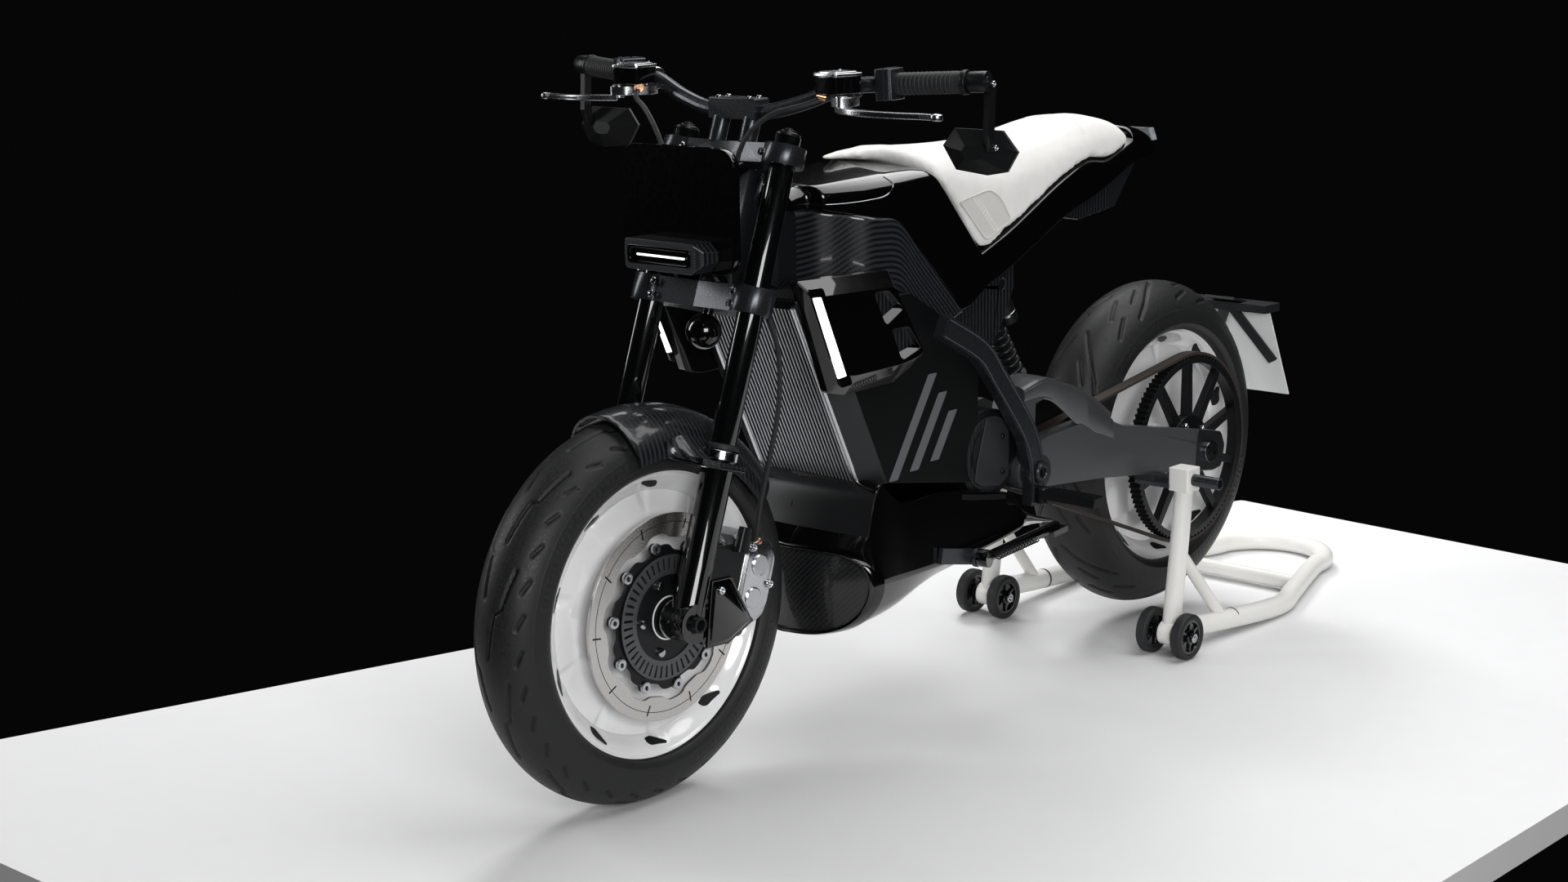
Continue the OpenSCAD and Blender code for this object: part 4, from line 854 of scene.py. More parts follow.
# Tank: top middle, top of the shoulder, foot of the shoulder, lower edge, bottom middle, from front to back
TANK = [
    [(-299, 0, 608), (-299, 42, 606), (-301, 57, 598), (-305, 59, 578), (-305, 0, 584)],
    [(-328, 0, 617), (-328, 46, 614), (-330, 61, 604), (-331, 63, 579), (-331, 0, 588)],
    [(-336, 0, 619), (-334, 62, 616), (-335, 80, 605), (-337, 82, 579), (-337, 0, 590)],
    [(-346, 0, 622), (-343, 76, 617), (-344, 92, 606), (-347, 94, 577), (-347, 0, 590)],
    [(-400, 0, 634), (-400, 92, 621), (-398, 112, 609), (-405, 114, 566), (-405, 0, 590)],
    [(-458, 0, 643), (-458, 101, 624), (-457, 124, 612), (-460, 126, 555), (-460, 0, 590)],
    [(-482, 0, 643), (-482, 103, 625), (-481, 126, 613), (-484, 127, 540), (-484, 0, 590)],
    [(-540, 0, 636), (-540, 107, 627), (-541, 128, 616), (-548, 130, 475), (-548, 0, 580)],
    [(-566, 0, 620), (-564, 110, 624), (-566, 129, 613), (-584, 131, 439), (-584, 0, 560)],
    [(-586, 0, 595), (-582, 111, 608), (-585, 128, 598), (-604, 131, 418), (-604, 0, 540)],
    [(-618, 0, 555), (-616, 114, 566), (-618, 127, 560), (-632, 131, 391), (-632, 0, 480)],
    [(-688, 0, 478), (-688, 112, 486), (-691, 125, 478), (-700, 127, 418), (-700, 0, 430)],
]
tank = piece("tank_lacquered", skin(shell_rings(TANK, (0, 14, 12, 3, 0))), "gloss_black_lacquer", "chassis",
             ("tank_shell",), crease=45)

# Tail: the same five lines, from the seat's lowest point back to the lamp
TAIL = [
    [(-690, 0, 470), (-690, 110, 481), (-693, 125, 476), (-700, 126, 420), (-700, 0, 430)],
    [(-790, 0, 500), (-782, 102, 511), (-784, 116, 506), (-790, 117, 448), (-790, 0, 455)],
    [(-930, 0, 560), (-929, 90, 571), (-931, 103, 566), (-947, 103, 509), (-947, 0, 515)],
    [(-1036, 0, 592), (-1036, 78, 601), (-1038, 91, 595), (-1050, 90, 535), (-1050, 0, 540)],
    [(-1112, 0, 594), (-1112, 68, 598), (-1114, 81, 592), (-1122, 79, 554), (-1122, 0, 560)],
    [(-1200, 0, 618), (-1202, 50, 621), (-1204, 64, 614), (-1206, 62, 577), (-1206, 0, 580)],
    [(-1222, 0, 648), (-1222, 43, 643), (-1224, 57, 632), (-1228, 57, 582), (-1228, 0, 584)],
    [(-1288, 0, 633), (-1288, 35, 629), (-1290, 45, 620), (-1276, 45, 585), (-1276, 0, 587)],
    [(-1313, 0, 611), (-1313, 29, 608), (-1313, 38, 602), (-1312, 38, 590), (-1312, 0, 590)],
]
piece("tail_lacquered", skin(shell_rings(TAIL, (0, 12, 10, 4, 0))), "gloss_black_lacquer", "chassis",
      ("tail_shell",), crease=45)

# Seat: top middle, edge of the top, side, lower edge, bottom middle, from the tongue's tip back
SEAT = [
    [(-437, 0, 652), (-438, 3, 651.5), (-438, 5, 650), (-438, 5, 647), (-438, 0, 647)],
    [(-500, 0, 656), (-500, 12, 655), (-500, 18, 651), (-500, 18, 643), (-500, 0, 643)],
    [(-550, 0, 657), (-550, 24, 656), (-551, 33, 650), (-553, 34, 637), (-553, 0, 636)],
    [(-580, 0, 656), (-582, 54, 652), (-579, 84, 638), (-576, 93, 622), (-580, 0, 622)],
    [(-606, 0, 653), (-606, 78, 647), (-600, 113, 624), (-592, 121, 602), (-600, 0, 600)],
    [(-650, 0, 650), (-652, 84, 644), (-645, 121, 612), (-622, 126, 564), (-630, 0, 590)],
    [(-724, 0, 647), (-724, 82, 641), (-714, 119, 600), (-688, 124, 488), (-700, 0, 580)],
    [(-790, 0, 646), (-790, 78, 640), (-786, 114, 597), (-756, 120, 506), (-780, 0, 570)],
    [(-860, 0, 648), (-860, 74, 642), (-860, 108, 606), (-858, 112, 546), (-860, 0, 570)],
    [(-930, 0, 654), (-930, 70, 648), (-931, 100, 614), (-931, 103, 576), (-930, 0, 580)],
    [(-1030, 0, 671), (-1030, 60, 665), (-1032, 88, 634), (-1036, 91, 605), (-1036, 0, 606)],
    [(-1104, 0, 671), (-1104, 52, 665), (-1106, 78, 638), (-1111, 81, 601), (-1111, 0, 602)],
    [(-1178, 0, 657), (-1178, 42, 652), (-1180, 62, 634), (-1183, 65, 615), (-1183, 0, 614)],
    [(-1204, 0, 641), (-1204, 32, 638), (-1205, 49, 631), (-1207, 54, 622), (-1207, 0, 622)],
]
SEAT_R = (0, 26, 22, 5, 0)
SEAT_VOXEL_MM, SEAT_SWELL_MM = 6, 3
SWELL_PASSES = 40


def swollen(body, voxel_mm, swell_mm, pressure=4.0, frames=20):
    """A closed form as stuffed leather: an even mesh of it swells under the cloth simulation's inner pressure with
    no weight on it, each point goes only outwards and no further than the cap, evened with its neighbours', and the
    result is given back as points and faces."""
    form = scratch_solid((row(body[0]), body[1]), MERGE_M)
    even = form.modifiers.new("even", "REMESH")
    even.mode, even.voxel_size = "VOXEL", voxel_mm * MM
    baked = bpy.data.meshes.new_from_object(form.evaluated_get(bpy.context.evaluated_depsgraph_get()))
    form.modifiers.clear()
    form.data = baked
    start, outwards = points_of(form), points_of(form, "normal")
    cloth = form.modifiers.new("cloth", "CLOTH")
    cloth.settings.use_pressure = True
    cloth.settings.uniform_pressure_force = pressure
    cloth.settings.effector_weights.gravity = 0
    cloth.point_cache.frame_end = frames
    for number in range(1, frames + 1):
        scene.frame_set(number)
    swell = np.clip(((points_of(form) - start) * outwards).sum(1), 0, swell_mm * MM)
    ends = np.array([tuple(edge.vertices) for edge in worked(form).edges])
    share = np.bincount(ends.ravel(), minlength=len(swell))
    for _ in range(SWELL_PASSES):
        swell = np.bincount(ends.ravel(), swell[ends[:, ::-1]].ravel(), len(swell)) / np.maximum(share, 1)
    faces = faces_of(form)
    scene.frame_set(1)
    bpy.data.objects.remove(form)
    return start + outwards * swell[:, None], faces


def as_is(points):
    """Points that are already in metres."""
    return np.asarray(points, float)


seat = piece("seat_stuffed", swollen(skin(shell_rings(SEAT, SEAT_R)), SEAT_VOXEL_MM, SEAT_SWELL_MM), "white_leather",
             "chassis", ("seat",), crease=70, levels=1, place=as_is)

# Belly: top middle, top edge, side edge, lower bend, bottom middle, from the nose back
BELLY = [
    [(-338, 0, 36), (-366, 138, 36), (-374, 157, -6), (-364, 112, -90), (-342, 0, -109)],
    [(-347, 0, 70), (-372, 150, 66), (-380, 160, -11), (-372, 114, -95), (-350, 0, -112)],
    [(-366, 0, 124), (-382, 150, 118), (-392, 160, -15), (-390, 116, -97), (-372, 0, -112)],
    [(-404, 0, 146), (-402, 150, 144), (-420, 160, -15), (-420, 116, -98), (-410, 0, -108)],
    [(-452, 0, 104), (-454, 150, 105), (-470, 160, -15), (-480, 114, -88), (-470, 0, -98)],
    [(-549, 0, 100), (-549, 150, 103), (-560, 160, -14), (-560, 110, -58), (-560, 0, -72)],
    [(-640, 0, 84), (-650, 150, 86), (-650, 160, -11), (-650, 112, -40), (-650, 0, -48)],
    [(-742, 0, 60), (-744, 148, 66), (-758, 156, 2), (-760, 112, -20), (-760, 0, -26)],
    [(-778, 0, 26), (-780, 150, 28), (-788, 150, 10), (-788, 110, -16), (-788, 0, -20)],
    [(-866, 0, -3), (-866, 144, -3), (-866, 144, -8), (-866, 110, -13), (-866, 0, -14)],
]
piece("belly_lacquered", skin(shell_rings(BELLY, (0, 5, 6, 46, 0))), "gloss_black_lacquer", "chassis",
      ("belly_fairing",), crease=45)

# The nose's outline across the front, as y and z, left half from the top
NOSE = [(0, 34), (60, 34), (112, 31), (146, 14), (156, -16), (146, -54), (116, -86), (66, -104), (0, -110)]


def belly_nose():
    """Rounded nose swept back at its sides: x falls with the square of y. A lip of five lines follows the outline,
    and inside it a bulged carbon panel shrinks to the middle, its bulge falling with the square of the radius."""
    half = smooth(NOSE, 8)
    loop = np.vstack([half, (half * [-1, 1])[-2:0:-1]])
    middle = np.array([0, -36])
    sweep = lambda yz: -328 - 40 * (yz[..., 0] / 156)**2
    rim_lines = [(1.05, -20), (1.03, -5), (1.0, 0), (0.965, -2), (0.945, -9)]

    def line(k, back):
        """The outline shrunk to a share about its middle, and set back from the sweep."""
        return np.concatenate([(sweep(loop * k) + back)[:, None], middle + (loop - middle) * k], 1)

    rings = np.stack([line(k, back) for k, back in rim_lines])
    piece("belly_nose_lip", (rings.reshape(-1, 3),
                             quads(len(rim_lines), len(loop), wrap_cols=True, wrap_rows=True).tolist()),
          "gloss_black_lacquer", "chassis", crease=60)
    shares = np.linspace(0.955, 0.02, 20)
    panel = np.stack([line(k, 5 * (1 - k**2) - 8) for k in shares])
    back = panel[:1] - [14, 0, 0]
    piece("belly_nose_panel", skin(np.concatenate([back, panel])), "carbon_front", "chassis",
          ("belly_nose",), crease=50)


belly_nose()


# Front end


def leaning(origin, lean):
    """Placing function for a frame turned about its origin, an x and a z: its own x points out of it, y to the left
    and z up along it. A positive lean, in radians, tips its upper end forward, a negative one back."""
    c, s = math.cos(lean), math.sin(lean)

    def place(points):
        x, y, z = np.moveaxis(np.asarray(points, float), -1, 0)
        return row(np.stack([origin[0] + x * c + z * s, y, origin[1] - x * s + z * c], -1))
    return place


# The fork's frame leans back by the rake, about the front axle
on_fork = leaning((0, 0), -math.radians(19))

# Caliper: outline in the fork's frame, x behind the leg and s above the axle
CALIPER = [(-112, 14), (-110, 130), (-140, 146), (-168, 146), (-184, 126), (-186, 34), (-166, 10)]


def front_caliper():
    """Two cast halves around the disc's edge and a bridge outside it. The outer half is a stack of outlines that
    shrinks outwards, with two piston bosses; the bracket to the leg is black."""
    flat = rounded(CALIPER, 14, 5)
    levels = ((73, 1.0), (88, 1.0), (95, 0.94), (99, 0.8))
    outer = skin(np.stack([np.insert(shrunk(flat, k), 1, y, axis=1) for y, k in levels]))
    inner = prism(rounded([(-108, 22), (-108, 116), (-140, 116), (-140, 22)], 10, 4), 44, 55)
    turn = np.radians(np.linspace(104, 146, 16)) - math.pi / 2 + 0.35
    arc = [np.stack([-r * np.sin(turn), r * np.cos(turn)], 1) for r in (168, 183)]
    bridge = prism(np.vstack([arc[0], arc[1][::-1]]), 48, 80)
    piece("front_caliper_body", joined([outer, inner, bridge]), "machined_silver", "steering",
          ("front_caliper",), bevel=1.5, place=on_fork)
    boss = turned([(0, 5), (15, 5), (17, 3.4), (17, 2), (21, 1.2), (22, -2), (0, -2)], 32)
    bosses = joined([moved(boss, (-146, 97, high)) for high in (52, 104)])
    piece("front_caliper_bosses", bosses, "machined_silver", "steering", place=on_fork)
    pins = joined([moved(bolt_head(6.5, 6), at) for at in ((-124, 96, 26), (-176, 97, 78), (-124, 96, 128))])
    piece("front_caliper_bolts", pins, "chromed_steel", "steering", place=on_fork)
    bracket = prism(rounded([(-16, 44), (-118, 36), (-118, 122), (-96, 128), (-16, 112)], 8, 4), 84, 93)
    cover = moved(box((26, 18, 40), 7, taper=0.8), (-96, 100, 136))
    piece("front_caliper_bracket", joined([bracket, cover]), "satin_black_metal", "steering", bevel=2,
          place=on_fork)
    piece("front_caliper_banjo", along(turned([(0, 9), (6, 9), (7, 7), (7, -2), (0, -2)], 20), (-172, 90, 84),
          (-186, 96, 92)), "copper_washer", "steering")


front_caliper()

GUARD = [(-18, -38), (-31, 60), (-70, 58), (-113, -18), (-62, -40)]
guard_top = np.array(GUARD) + [(-4, 7), (-4, -7), (6, -8), (10, 3), (0, 6)]
piece("fork_guard_faces", mirrored(frustum(rounded(GUARD, 5, 4), rounded(guard_top, 5, 4), 134.5, 138.5)),
      "gloss_black_lacquer", "steering", bevel=0.6)
piece("fork_guard_bolts", mirrored(moved(bolt_head(6, 4.5), (-45, 138, 44))), "chromed_steel", "steering")

# Fork clamps: pinch bolts on the lobes' front, and caps on the legs
LEG_Y, FOOT_S = 106, 232
pinch = [moved(bolt_head(6, 5), (25, LEG_Y - 22, high), facing((1, -0.3, 0))) for high in (478, 498, 711)]
piece("fork_pinch_bolts", mirrored(joined(pinch)), "chromed_steel", "steering", place=on_fork)
cap = turned([(0, 12), (6, 12), (6, 9), (11, 9), (12, 8), (12, 5), (17, 5), (19, 3.5), (19, 0), (0, 0)], 32)
piece("fork_caps", mirrored(moved(cap, (0, LEG_Y, 742), UPRIGHT)), "satin_black_metal", "steering",
      place=on_fork, bevel=0.4)
seal = turned([(20.6, 6), (22, 6), (25.5, 3), (25.5, -2), (20.6, -2)], 40)
piece("fork_seals", mirrored(moved(seal, (0, LEG_Y, 264), UPRIGHT)), "moulded_rubber", "steering",
      place=on_fork)


def fender_wings():
    """Wing from the fender's side out to the fork leg: lines between the side and the foot's edge, hollowed by a square
    law, and a bright rolled lip along the edge."""
    inner = smooth([(88, 75, FOOT_S + 26), (52, 76, FOOT_S + 40), (10, 76, FOOT_S + 42), (-28, 76, FOOT_S + 38)], 10)
    outer = smooth([(72, 76, FOOT_S + 2), (54, LEG_Y + 14, FOOT_S + 1), (22, LEG_Y + 29, FOOT_S + 2),
                    (-28, LEG_Y + 29, FOOT_S + 4)], 10)
    share = np.linspace(0, 1, 14)[None, :, None]
    grid = inner[:, None] * (1 - share) + outer[:, None] * share - [0, 0, 1] * (14 * share * (1 - share))
    piece("fender_wings", mirrored(slab(grid, (0, 0, -3))), "carbon_weave", "steering", place=on_fork,
          crease=50)
    piece("fender_wing_lips", mirrored(tube(outer, 1.8, 10, up=(0, 0, 1))), "gloss_black_lacquer", "steering",
          place=on_fork)


fender_wings()
band = turned([(27.3, 0), (28.3, 1), (28.3, 13), (27.3, 14)], 48)
piece("fork_bands", mirrored(moved(band, (0, LEG_Y, 246), UPRIGHT)), "chromed_steel", "steering",
      place=on_fork)

# Light bar: a dark plate in the recess, a lip and one lit line
plate = prism(rounded([(-61, 521), (61, 521), (61, 541), (-61, 541)], 4, 4), -74.5, -72.5, axis=0)
piece("light_bar_plate", plate, "gloss_black_lacquer", "steering")
line = prism(rounded([(-50, 529), (50, 529), (50, 532), (-50, 532)], 1.2, 4), -73, -71, axis=0)
piece("light_bar_line", line, "lit_strip", "steering")
lip = carved(prism(rounded([(-66, 517), (66, 517), (66, 545), (-66, 545)], 7, 5), -70, -66.4, axis=0),
             prism(rounded([(-60, 521), (60, 521), (60, 541), (-60, 541)], 5, 5), -80, -60, axis=0))
piece("light_bar_lip", lip, "gloss_black_lacquer", "steering", bevel=0.8)

# Handlebar
GRIP_FROM, GRIP_TO = np.array([-281, 275, 783.0]), np.array([-314, 412, 789.0])
RESERVOIR_AT = (-234, 213, 770)
RESERVOIR_TURN = np.array([[math.cos(0.14), math.sin(0.14), 0], [-math.sin(0.14), math.cos(0.14), 0], [0, 0, 1]])


def bar_controls():
    """Switch box, brake perch and reservoir on each half of the bar: rounded blocks, turned parts and bolts."""
    switch = carved(box((50, 30, 46), 9), turned([(0, 30), (11.4, 30), (11.4, -30), (0, -30)], 24))
    switch = along(switch, GRIP_FROM - [0, 3, 0], GRIP_TO)
    piece("switch_boxes", mirrored(switch), "graphite_anodised", "steering", ("hand_controls",),
          bevel=3)
    seam = along(carved(box((51, 0.8, 47), 9), turned([(0, 3), (24, 3), (24, -3), (0, -3)], 24)), GRIP_FROM, GRIP_TO)
    button = along(joined([moved(box((8, 9, 7), 2), (x, 0, 20.5)) for x in (-12, 2, 14)]), GRIP_FROM, GRIP_TO)
    piece("switch_details", mirrored(joined([seam, button])), "moulded_rubber", "steering")
    tank = moved(box((54, 50, 26), 9, (0, 0, 13), taper=1.04), RESERVOIR_AT, RESERVOIR_TURN)
    piece("reservoirs", mirrored(tank), "gloss_black_lacquer", "steering", bevel=1.5)
    lid = joined([box((58, 54, 5), 10, (0, 0, 28)), box((46, 42, 3), 8, (0, 0, 31))])
    piece("reservoir_lids", mirrored(moved(lid, RESERVOIR_AT, RESERVOIR_TURN)), "machined_silver", "steering",
          bevel=1.2)
    screws = joined([moved(bolt_head(2.6, 2), (x, y, 32), UPRIGHT) for x, y in ((-17, -15), (17, 15))])
    piece("reservoir_screws", mirrored(moved(screws, RESERVOIR_AT, RESERVOIR_TURN)), "chromed_steel", "steering")
    clamp = along(turned([(11.6, -11), (17, -11), (18, -9), (18, 9), (17, 11), (11.6, 11)], 32), (-270.5, 208, 777.6),
                  (-277, 250, 781.5))
    arm = prism(rounded([(-276, 200), (-250, 196), (-214, 216), (-204, 240), (-222, 250), (-262, 232)], 6, 4), 752, 766,
                axis=2)
    hinge = moved(turned([(0, 8), (9, 8), (10, 7), (10, -12), (0, -12)], 24), (-218, 234, 760), UPRIGHT)
    piece("brake_perches", mirrored(joined([clamp, arm, hinge])), "machined_silver", "steering",
          bevel=1.5)
    bolts = joined([moved(bolt_head(4, 4), at, facing((1, 0, 0))) for at in ((-252, 204, 786), (-252, 204, 768))])
    piece("perch_bolts", mirrored(bolts), "chromed_steel", "steering")
    union = along(turned([(0, 14), (4, 14), (4, 11), (6.5, 11), (6.5, 5), (8, 5), (8, 0), (0, 0)], 20),
                  (-226, 196, 764), (-214, 184, 768))
    piece("hose_unions", mirrored(union), "copper_washer", "steering")


def hand_levers():
    """Blade along a smooth path, its width falling towards the tip, and a ring at the end; its slots are dark strips
    laid on the blade, painted shade for the pressed slots.
    """
    path = smooth([(-218, 234, 748), (-199, 262, 748), (-193, 300, 747), (-199, 344, 746), (-214, 384, 745),
                   (-221, 402, 744)], 8)
    width = np.interp(np.linspace(0, 1, len(path)), (0, 0.2, 0.5, 0.9, 1), (22, 15, 13, 10, 9))
    blade = ribbon(path, width, 9, (0, 0, 1))
    tip = moved(turned([(4.2, -5), (8, -5), (9, -3), (9, 3), (8, 5), (4.2, 5)], 32), (-222, 408, 744), UPRIGHT)
    piece("hand_lever_blades", mirrored(joined([blade, tip])), "machined_silver", "steering",
          ("hand_levers",), bevel=1.6)
    # Painted shade: dark strips on the blade's front and top stand for its slots.
    part = path[9:34]
    slot = ribbon(part + [6.2, 0, 0], 1.4, 3.6, (0, 0, 1))
    upper = ribbon(part[2:-2] + [0, 0, 4.4], 4.5, 0.6, (0, 0, 1))
    piece("hand_lever_painted_slot_shade", mirrored(joined([slot, upper])), "satin_black_metal", "steering")


def grips():
    """Rubber sleeve with ribs: a turned profile whose radius is a square wave along it; a metal ring at each end."""
    y = np.linspace(6, 118, 113)
    r = 16.2 + 0.45 * np.sign(np.sin(y * 2 * np.pi / 7)) * (np.abs(y - 62) < 44)
    sleeve = turned(np.column_stack([np.concatenate([[11.4], r, [11.4]]), np.concatenate([[6], y, [118]])]), 40)
    piece("grip_sleeves", mirrored(along(sleeve, GRIP_FROM, GRIP_TO)), "moulded_rubber", "steering",
          ("grips",))
    flange = turned([(11.4, 2), (20, 2), (21, 4), (21, 7), (18, 9), (11.4, 9)], 40)
    far = turned([(11.4, 116), (17.4, 116), (18, 117), (18, 123), (17, 124), (11.4, 124)], 40)
    end = turned([(0, 156), (7, 156), (8, 155), (12, 155), (14.8, 153), (15.4, 150), (15.4, 128), (14.4, 126),
                  (11.4, 126)], 40, closed=False)
    piece("grip_rings", mirrored(along(joined([flange, far, end]), GRIP_FROM, GRIP_TO)), "satin_black_metal",
          "steering", bevel=0.5)


bar_controls()
hand_levers()
grips()
clamp_bolts = [moved(bolt_head(5, 5), (-247 + x, y, 754), UPRIGHT) for x in (-11, 11) for y in (-32, 32)]
piece("bar_clamp_bolts", joined(clamp_bolts), "chromed_steel", "steering")
bar_cap = carved(moved(box((36, 98, 3), 4, taper=0.96), (-247, 0, 754.5)), moved(box((10, 52, 10), 3), (-247, 0, 756)))
piece("bar_clamp_cap", bar_cap, "satin_black_metal", "steering", bevel=0.8)

# Mirrors: glass on the rear face and a bolt at the stalk's foot
MIRROR_AT = np.array([-348, 390, 685])
MIRROR = np.array([(-0.5, 0.1), (-0.34, 0.5), (0.3, 0.5), (0.5, 0.05), (0.36, -0.4), (0.1, -0.5),
                   (-0.32, -0.42)]) * [138, 66]
glass = moved(prism(rounded(MIRROR * 0.93, 6, 4), -0.8, 0.5, axis=0), MIRROR_AT)
piece("mirror_glasses", mirrored(glass), "mirror_glass", "steering")
stalk_bolts = joined([moved(bolt_head(4.5, 4), at) for at in ((-331, 427.5, 694), (-325, 427.5, 786))])
piece("mirror_bolts", mirrored(stalk_bolts), "chromed_steel", "steering")


# Lamps, battery and heat sink


LAMP = [(-196, 492), (-409, 485), (-488, 350), (-470, 328), (-418, 306), (-300, 304), (-265, 312)]
LAMP_FACE = [(-209, 468), (-400, 462), (-470, 350), (-456, 344), (-412, 338), (-306, 336), (-278, 340)]
VENTS = [[(-348, 458), (-384, 458), (-420, 426), (-378, 404)], [(-390, 396), (-432, 396), (-462, 358), (-416, 344)]]


def side_lamps():
    """Housing through three outlines, its face chamfered all round, with two vents cut into it. Each vent has a
    carbon floor and a sill, a wedge that rises from the floor to the face along the lower edge."""
    base, face = rounded(LAMP, 6, 4), rounded(LAMP_FACE, 8, 4)
    housing = skin(np.stack([np.insert(o, 1, y, axis=1) for o, y in ((base, 146), (base, 160), (face, 182))]))
    shapes = [rounded(v, 7, 4) for v in VENTS]
    housing = carved(housing, *[prism(v, 171, 190) for v in shapes])
    piece("lamp_housings", mirrored(housing), "gloss_black_lacquer", "chassis", ("side_lamps",), bevel=1)
    floors = joined([prism(shrunk(v, 0.99), 168, 172.5) for v in shapes])
    piece("lamp_vent_floors", mirrored(floors), "carbon_weave", "chassis")
    sills = []
    for (x2, z2), (x3, z3) in ((v[2], v[3]) for v in VENTS):
        ends = (x2 + 3, z2 - 2, x2 + 9, z2 + 6), (x3 - 4, z3 + 1, x3 + 4, z3 + 11)
        rings = [[(a, 172, b), (a, 182, b), (c, 173, d), (c, 172, d)] for a, b, c, d in ends]
        sills.append(skin(np.array(rings, float)))
    piece("lamp_vent_sills", mirrored(joined(sills)), "gloss_black_lacquer", "chassis", bevel=0.6)
    frame_line = rounded([(-198, 482), (-230, 481), (-296, 324), (-268, 322)], 6, 4)
    strip_hole = rounded([(-205, 469), (-225, 468), (-281, 339), (-261, 337)], 3, 4)
    surround = carved(prism(frame_line, 180, 184), prism(strip_hole, 170, 200))
    piece("lamp_strip_frames", mirrored(surround), "gloss_black_lacquer", "chassis", bevel=1)


side_lamps()

FACE_L, FINS = 341, 26
on_face = leaning((-250, 437), math.radians(25.7))


def heat_sink():
    """Thin bright fins, one box repeated across, over a black base; a bright bar and a grey facet close each side."""
    fin = prism([(-18.4, -FACE_L), (-1, -FACE_L), (0, -FACE_L + 1), (0, -1), (-1, 0), (-18.4, 0)], -1.3, 1.3)
    spots = np.linspace(-93, 93, FINS)
    shifts = np.column_stack([0 * spots, spots, 0 * spots])
    piece("heat_sink_fins", strewn(fin, shifts), "battery_lacquer", "chassis", ("heat_sink",),
          place=on_face)
    edge = prism([(-1.4, -FACE_L + 0.4), (0.1, -FACE_L + 1), (0.1, -1), (-1.4, -0.4)], -1.4, 1.4)
    piece("heat_sink_edges", strewn(edge, shifts), "finned_aluminium", "chassis", place=on_face)
    base = prism([(-26, -97), (-17.9, -97), (-17.9, 97), (-26, 97)], -FACE_L, 0, axis=2)
    piece("heat_sink_base", base, "battery_lacquer", "chassis", place=on_face)
    wing = prism([(-26, 97), (-6, 97), (-4, 106), (-25.5, 145.5), (-26, 145.5)], -FACE_L, 0, axis=2)
    piece("battery_edge_facets", mirrored(wing), "facet_grey", "chassis", bevel=0.8, place=on_face)
    bar = prism(rounded([(-8, 96.5), (-0.5, 96.5), (-0.5, 104), (-4, 107), (-8, 107)], 1.2, 3), -FACE_L, 0, axis=2)
    piece("heat_sink_side_bars", mirrored(bar), "machined_silver", "chassis", place=on_face)


heat_sink()

# Plain slanted stripes on the battery's side
STRIPES = [[(-424, 142), (-446, 142), (-546, 302), (-524, 302)], [(-476, 150), (-498, 150), (-572, 268), (-550, 268)],
           [(-528, 158), (-550, 158), (-598, 234), (-576, 234)]]
piece("battery_stripes", mirrored(joined([prism(rounded(o, 2, 3), 145.8, 146.4) for o in STRIPES])), "grey_marking",
      "chassis")

# Carbon cover between tank and battery: its lines from front to back as x, half width, top, bottom
COVER_X = np.array([-305, -338, -362, -384, -402, -424, -472, -520, -570, -600, -628])
COVER_W = np.array([62, 64, 80, 108, 124, 131, 133, 133, 133, 133, 133])
cover_top = np.interp(-COVER_X, (305, 338, 472, 631), (579, 580, 553, 392))
cover_low = np.interp(-COVER_X, (305, 480, 590, 631), (440, 440, 375, 388))
corners = ((0 * COVER_W, cover_top), (COVER_W, cover_top), (COVER_W, cover_low), (0 * COVER_W, cover_low))
cover = np.stack([np.stack([COVER_X, wide, high], 1) for wide, high in corners], 1)
cover_rings = shell_rings(cover, (0, 8, 6, 0))


def lengths(grid, axis):
    """Length run along one axis of a grid of points, from its first point."""
    steps = np.linalg.norm(np.diff(grid, axis=axis), axis=-1)
    return np.concatenate([np.zeros_like(np.take(steps, [0], axis)), np.cumsum(steps, axis)], axis)


run, girth = lengths(cover_rings, 0), lengths(cover_rings, 1)
piece("carbon_cover_shell", skin(cover_rings), "carbon_laid", "chassis", ("carbon_cover",), crease=40,
      fields={"weave_u": (run + girth) * 0.7, "weave_v": (run - girth) * 0.7})

# Belly's upper band: across the front between two of its lines, as x and z at the middle and at the edge
BAND = [((-346, 66), (-371, 62)), ((-352, 84), (-375, 82)), ((-366, 124), (-382, 118)), ((-384, 139), (-392, 134)),
        ((-404, 147), (-402, 145))]
across = np.linspace(-1, 1, 33)
share = (across**2)[None, :, None]
line_xz = smooth(np.reshape(BAND, (len(BAND), -1)), 4).reshape(-1, 2, 2)
xz = line_xz[:, None, 0] * (1 - share) + line_xz[:, None, 1] * share
width = np.interp(np.linspace(0, 1, len(xz)), (0, 0.5, 1), (149, 151, 150))[:, None] * across
band_grid = np.stack([xz[..., 0] + 1.2, width, xz[..., 1] + 0.8], -1)
piece("belly_upper_band", slab(band_grid, (-3, 0, -1)), "satin_black_metal", "chassis", bevel=0.5)

# Tank and seat details

# Paths start this far out beside the body, and a point still beyond the limit has missed it
BESIDE_Y, MISSED_Y = 200, 190


def drawn_on(target, line, radius):
    """Thin round bead along a smooth line of x and z that is thrown onto an object's left side."""
    on = laid_on(target, np.insert(smooth(line, 8), 1, BESIDE_Y, axis=1), (0, -1, 0))
    return tube(on[np.abs(on[:, 1]) < MISSED_Y], radius, 8, up=(0.3, 0.2, 1))


PANEL_LINE = [(-312, 589), (-360, 588), (-412, 590), (-448, 595), (-464, 608), (-463, 622)]
CAP_LINE = [(-322, 619), (-333, 606), (-332, 590)]
# Painted highlight: bright chrome beads along the shut lines stand for the light caught on the panels' edges.
beads = joined([drawn_on(tank, line, 0.9) for line in (PANEL_LINE, CAP_LINE)])
piece("tank_shut_line_highlights", mirrored(beads), "chromed_steel", "chassis")

PAD = [(-624, 570), (-712, 583), (-744, 566), (-778, 522), (-699, 496)]


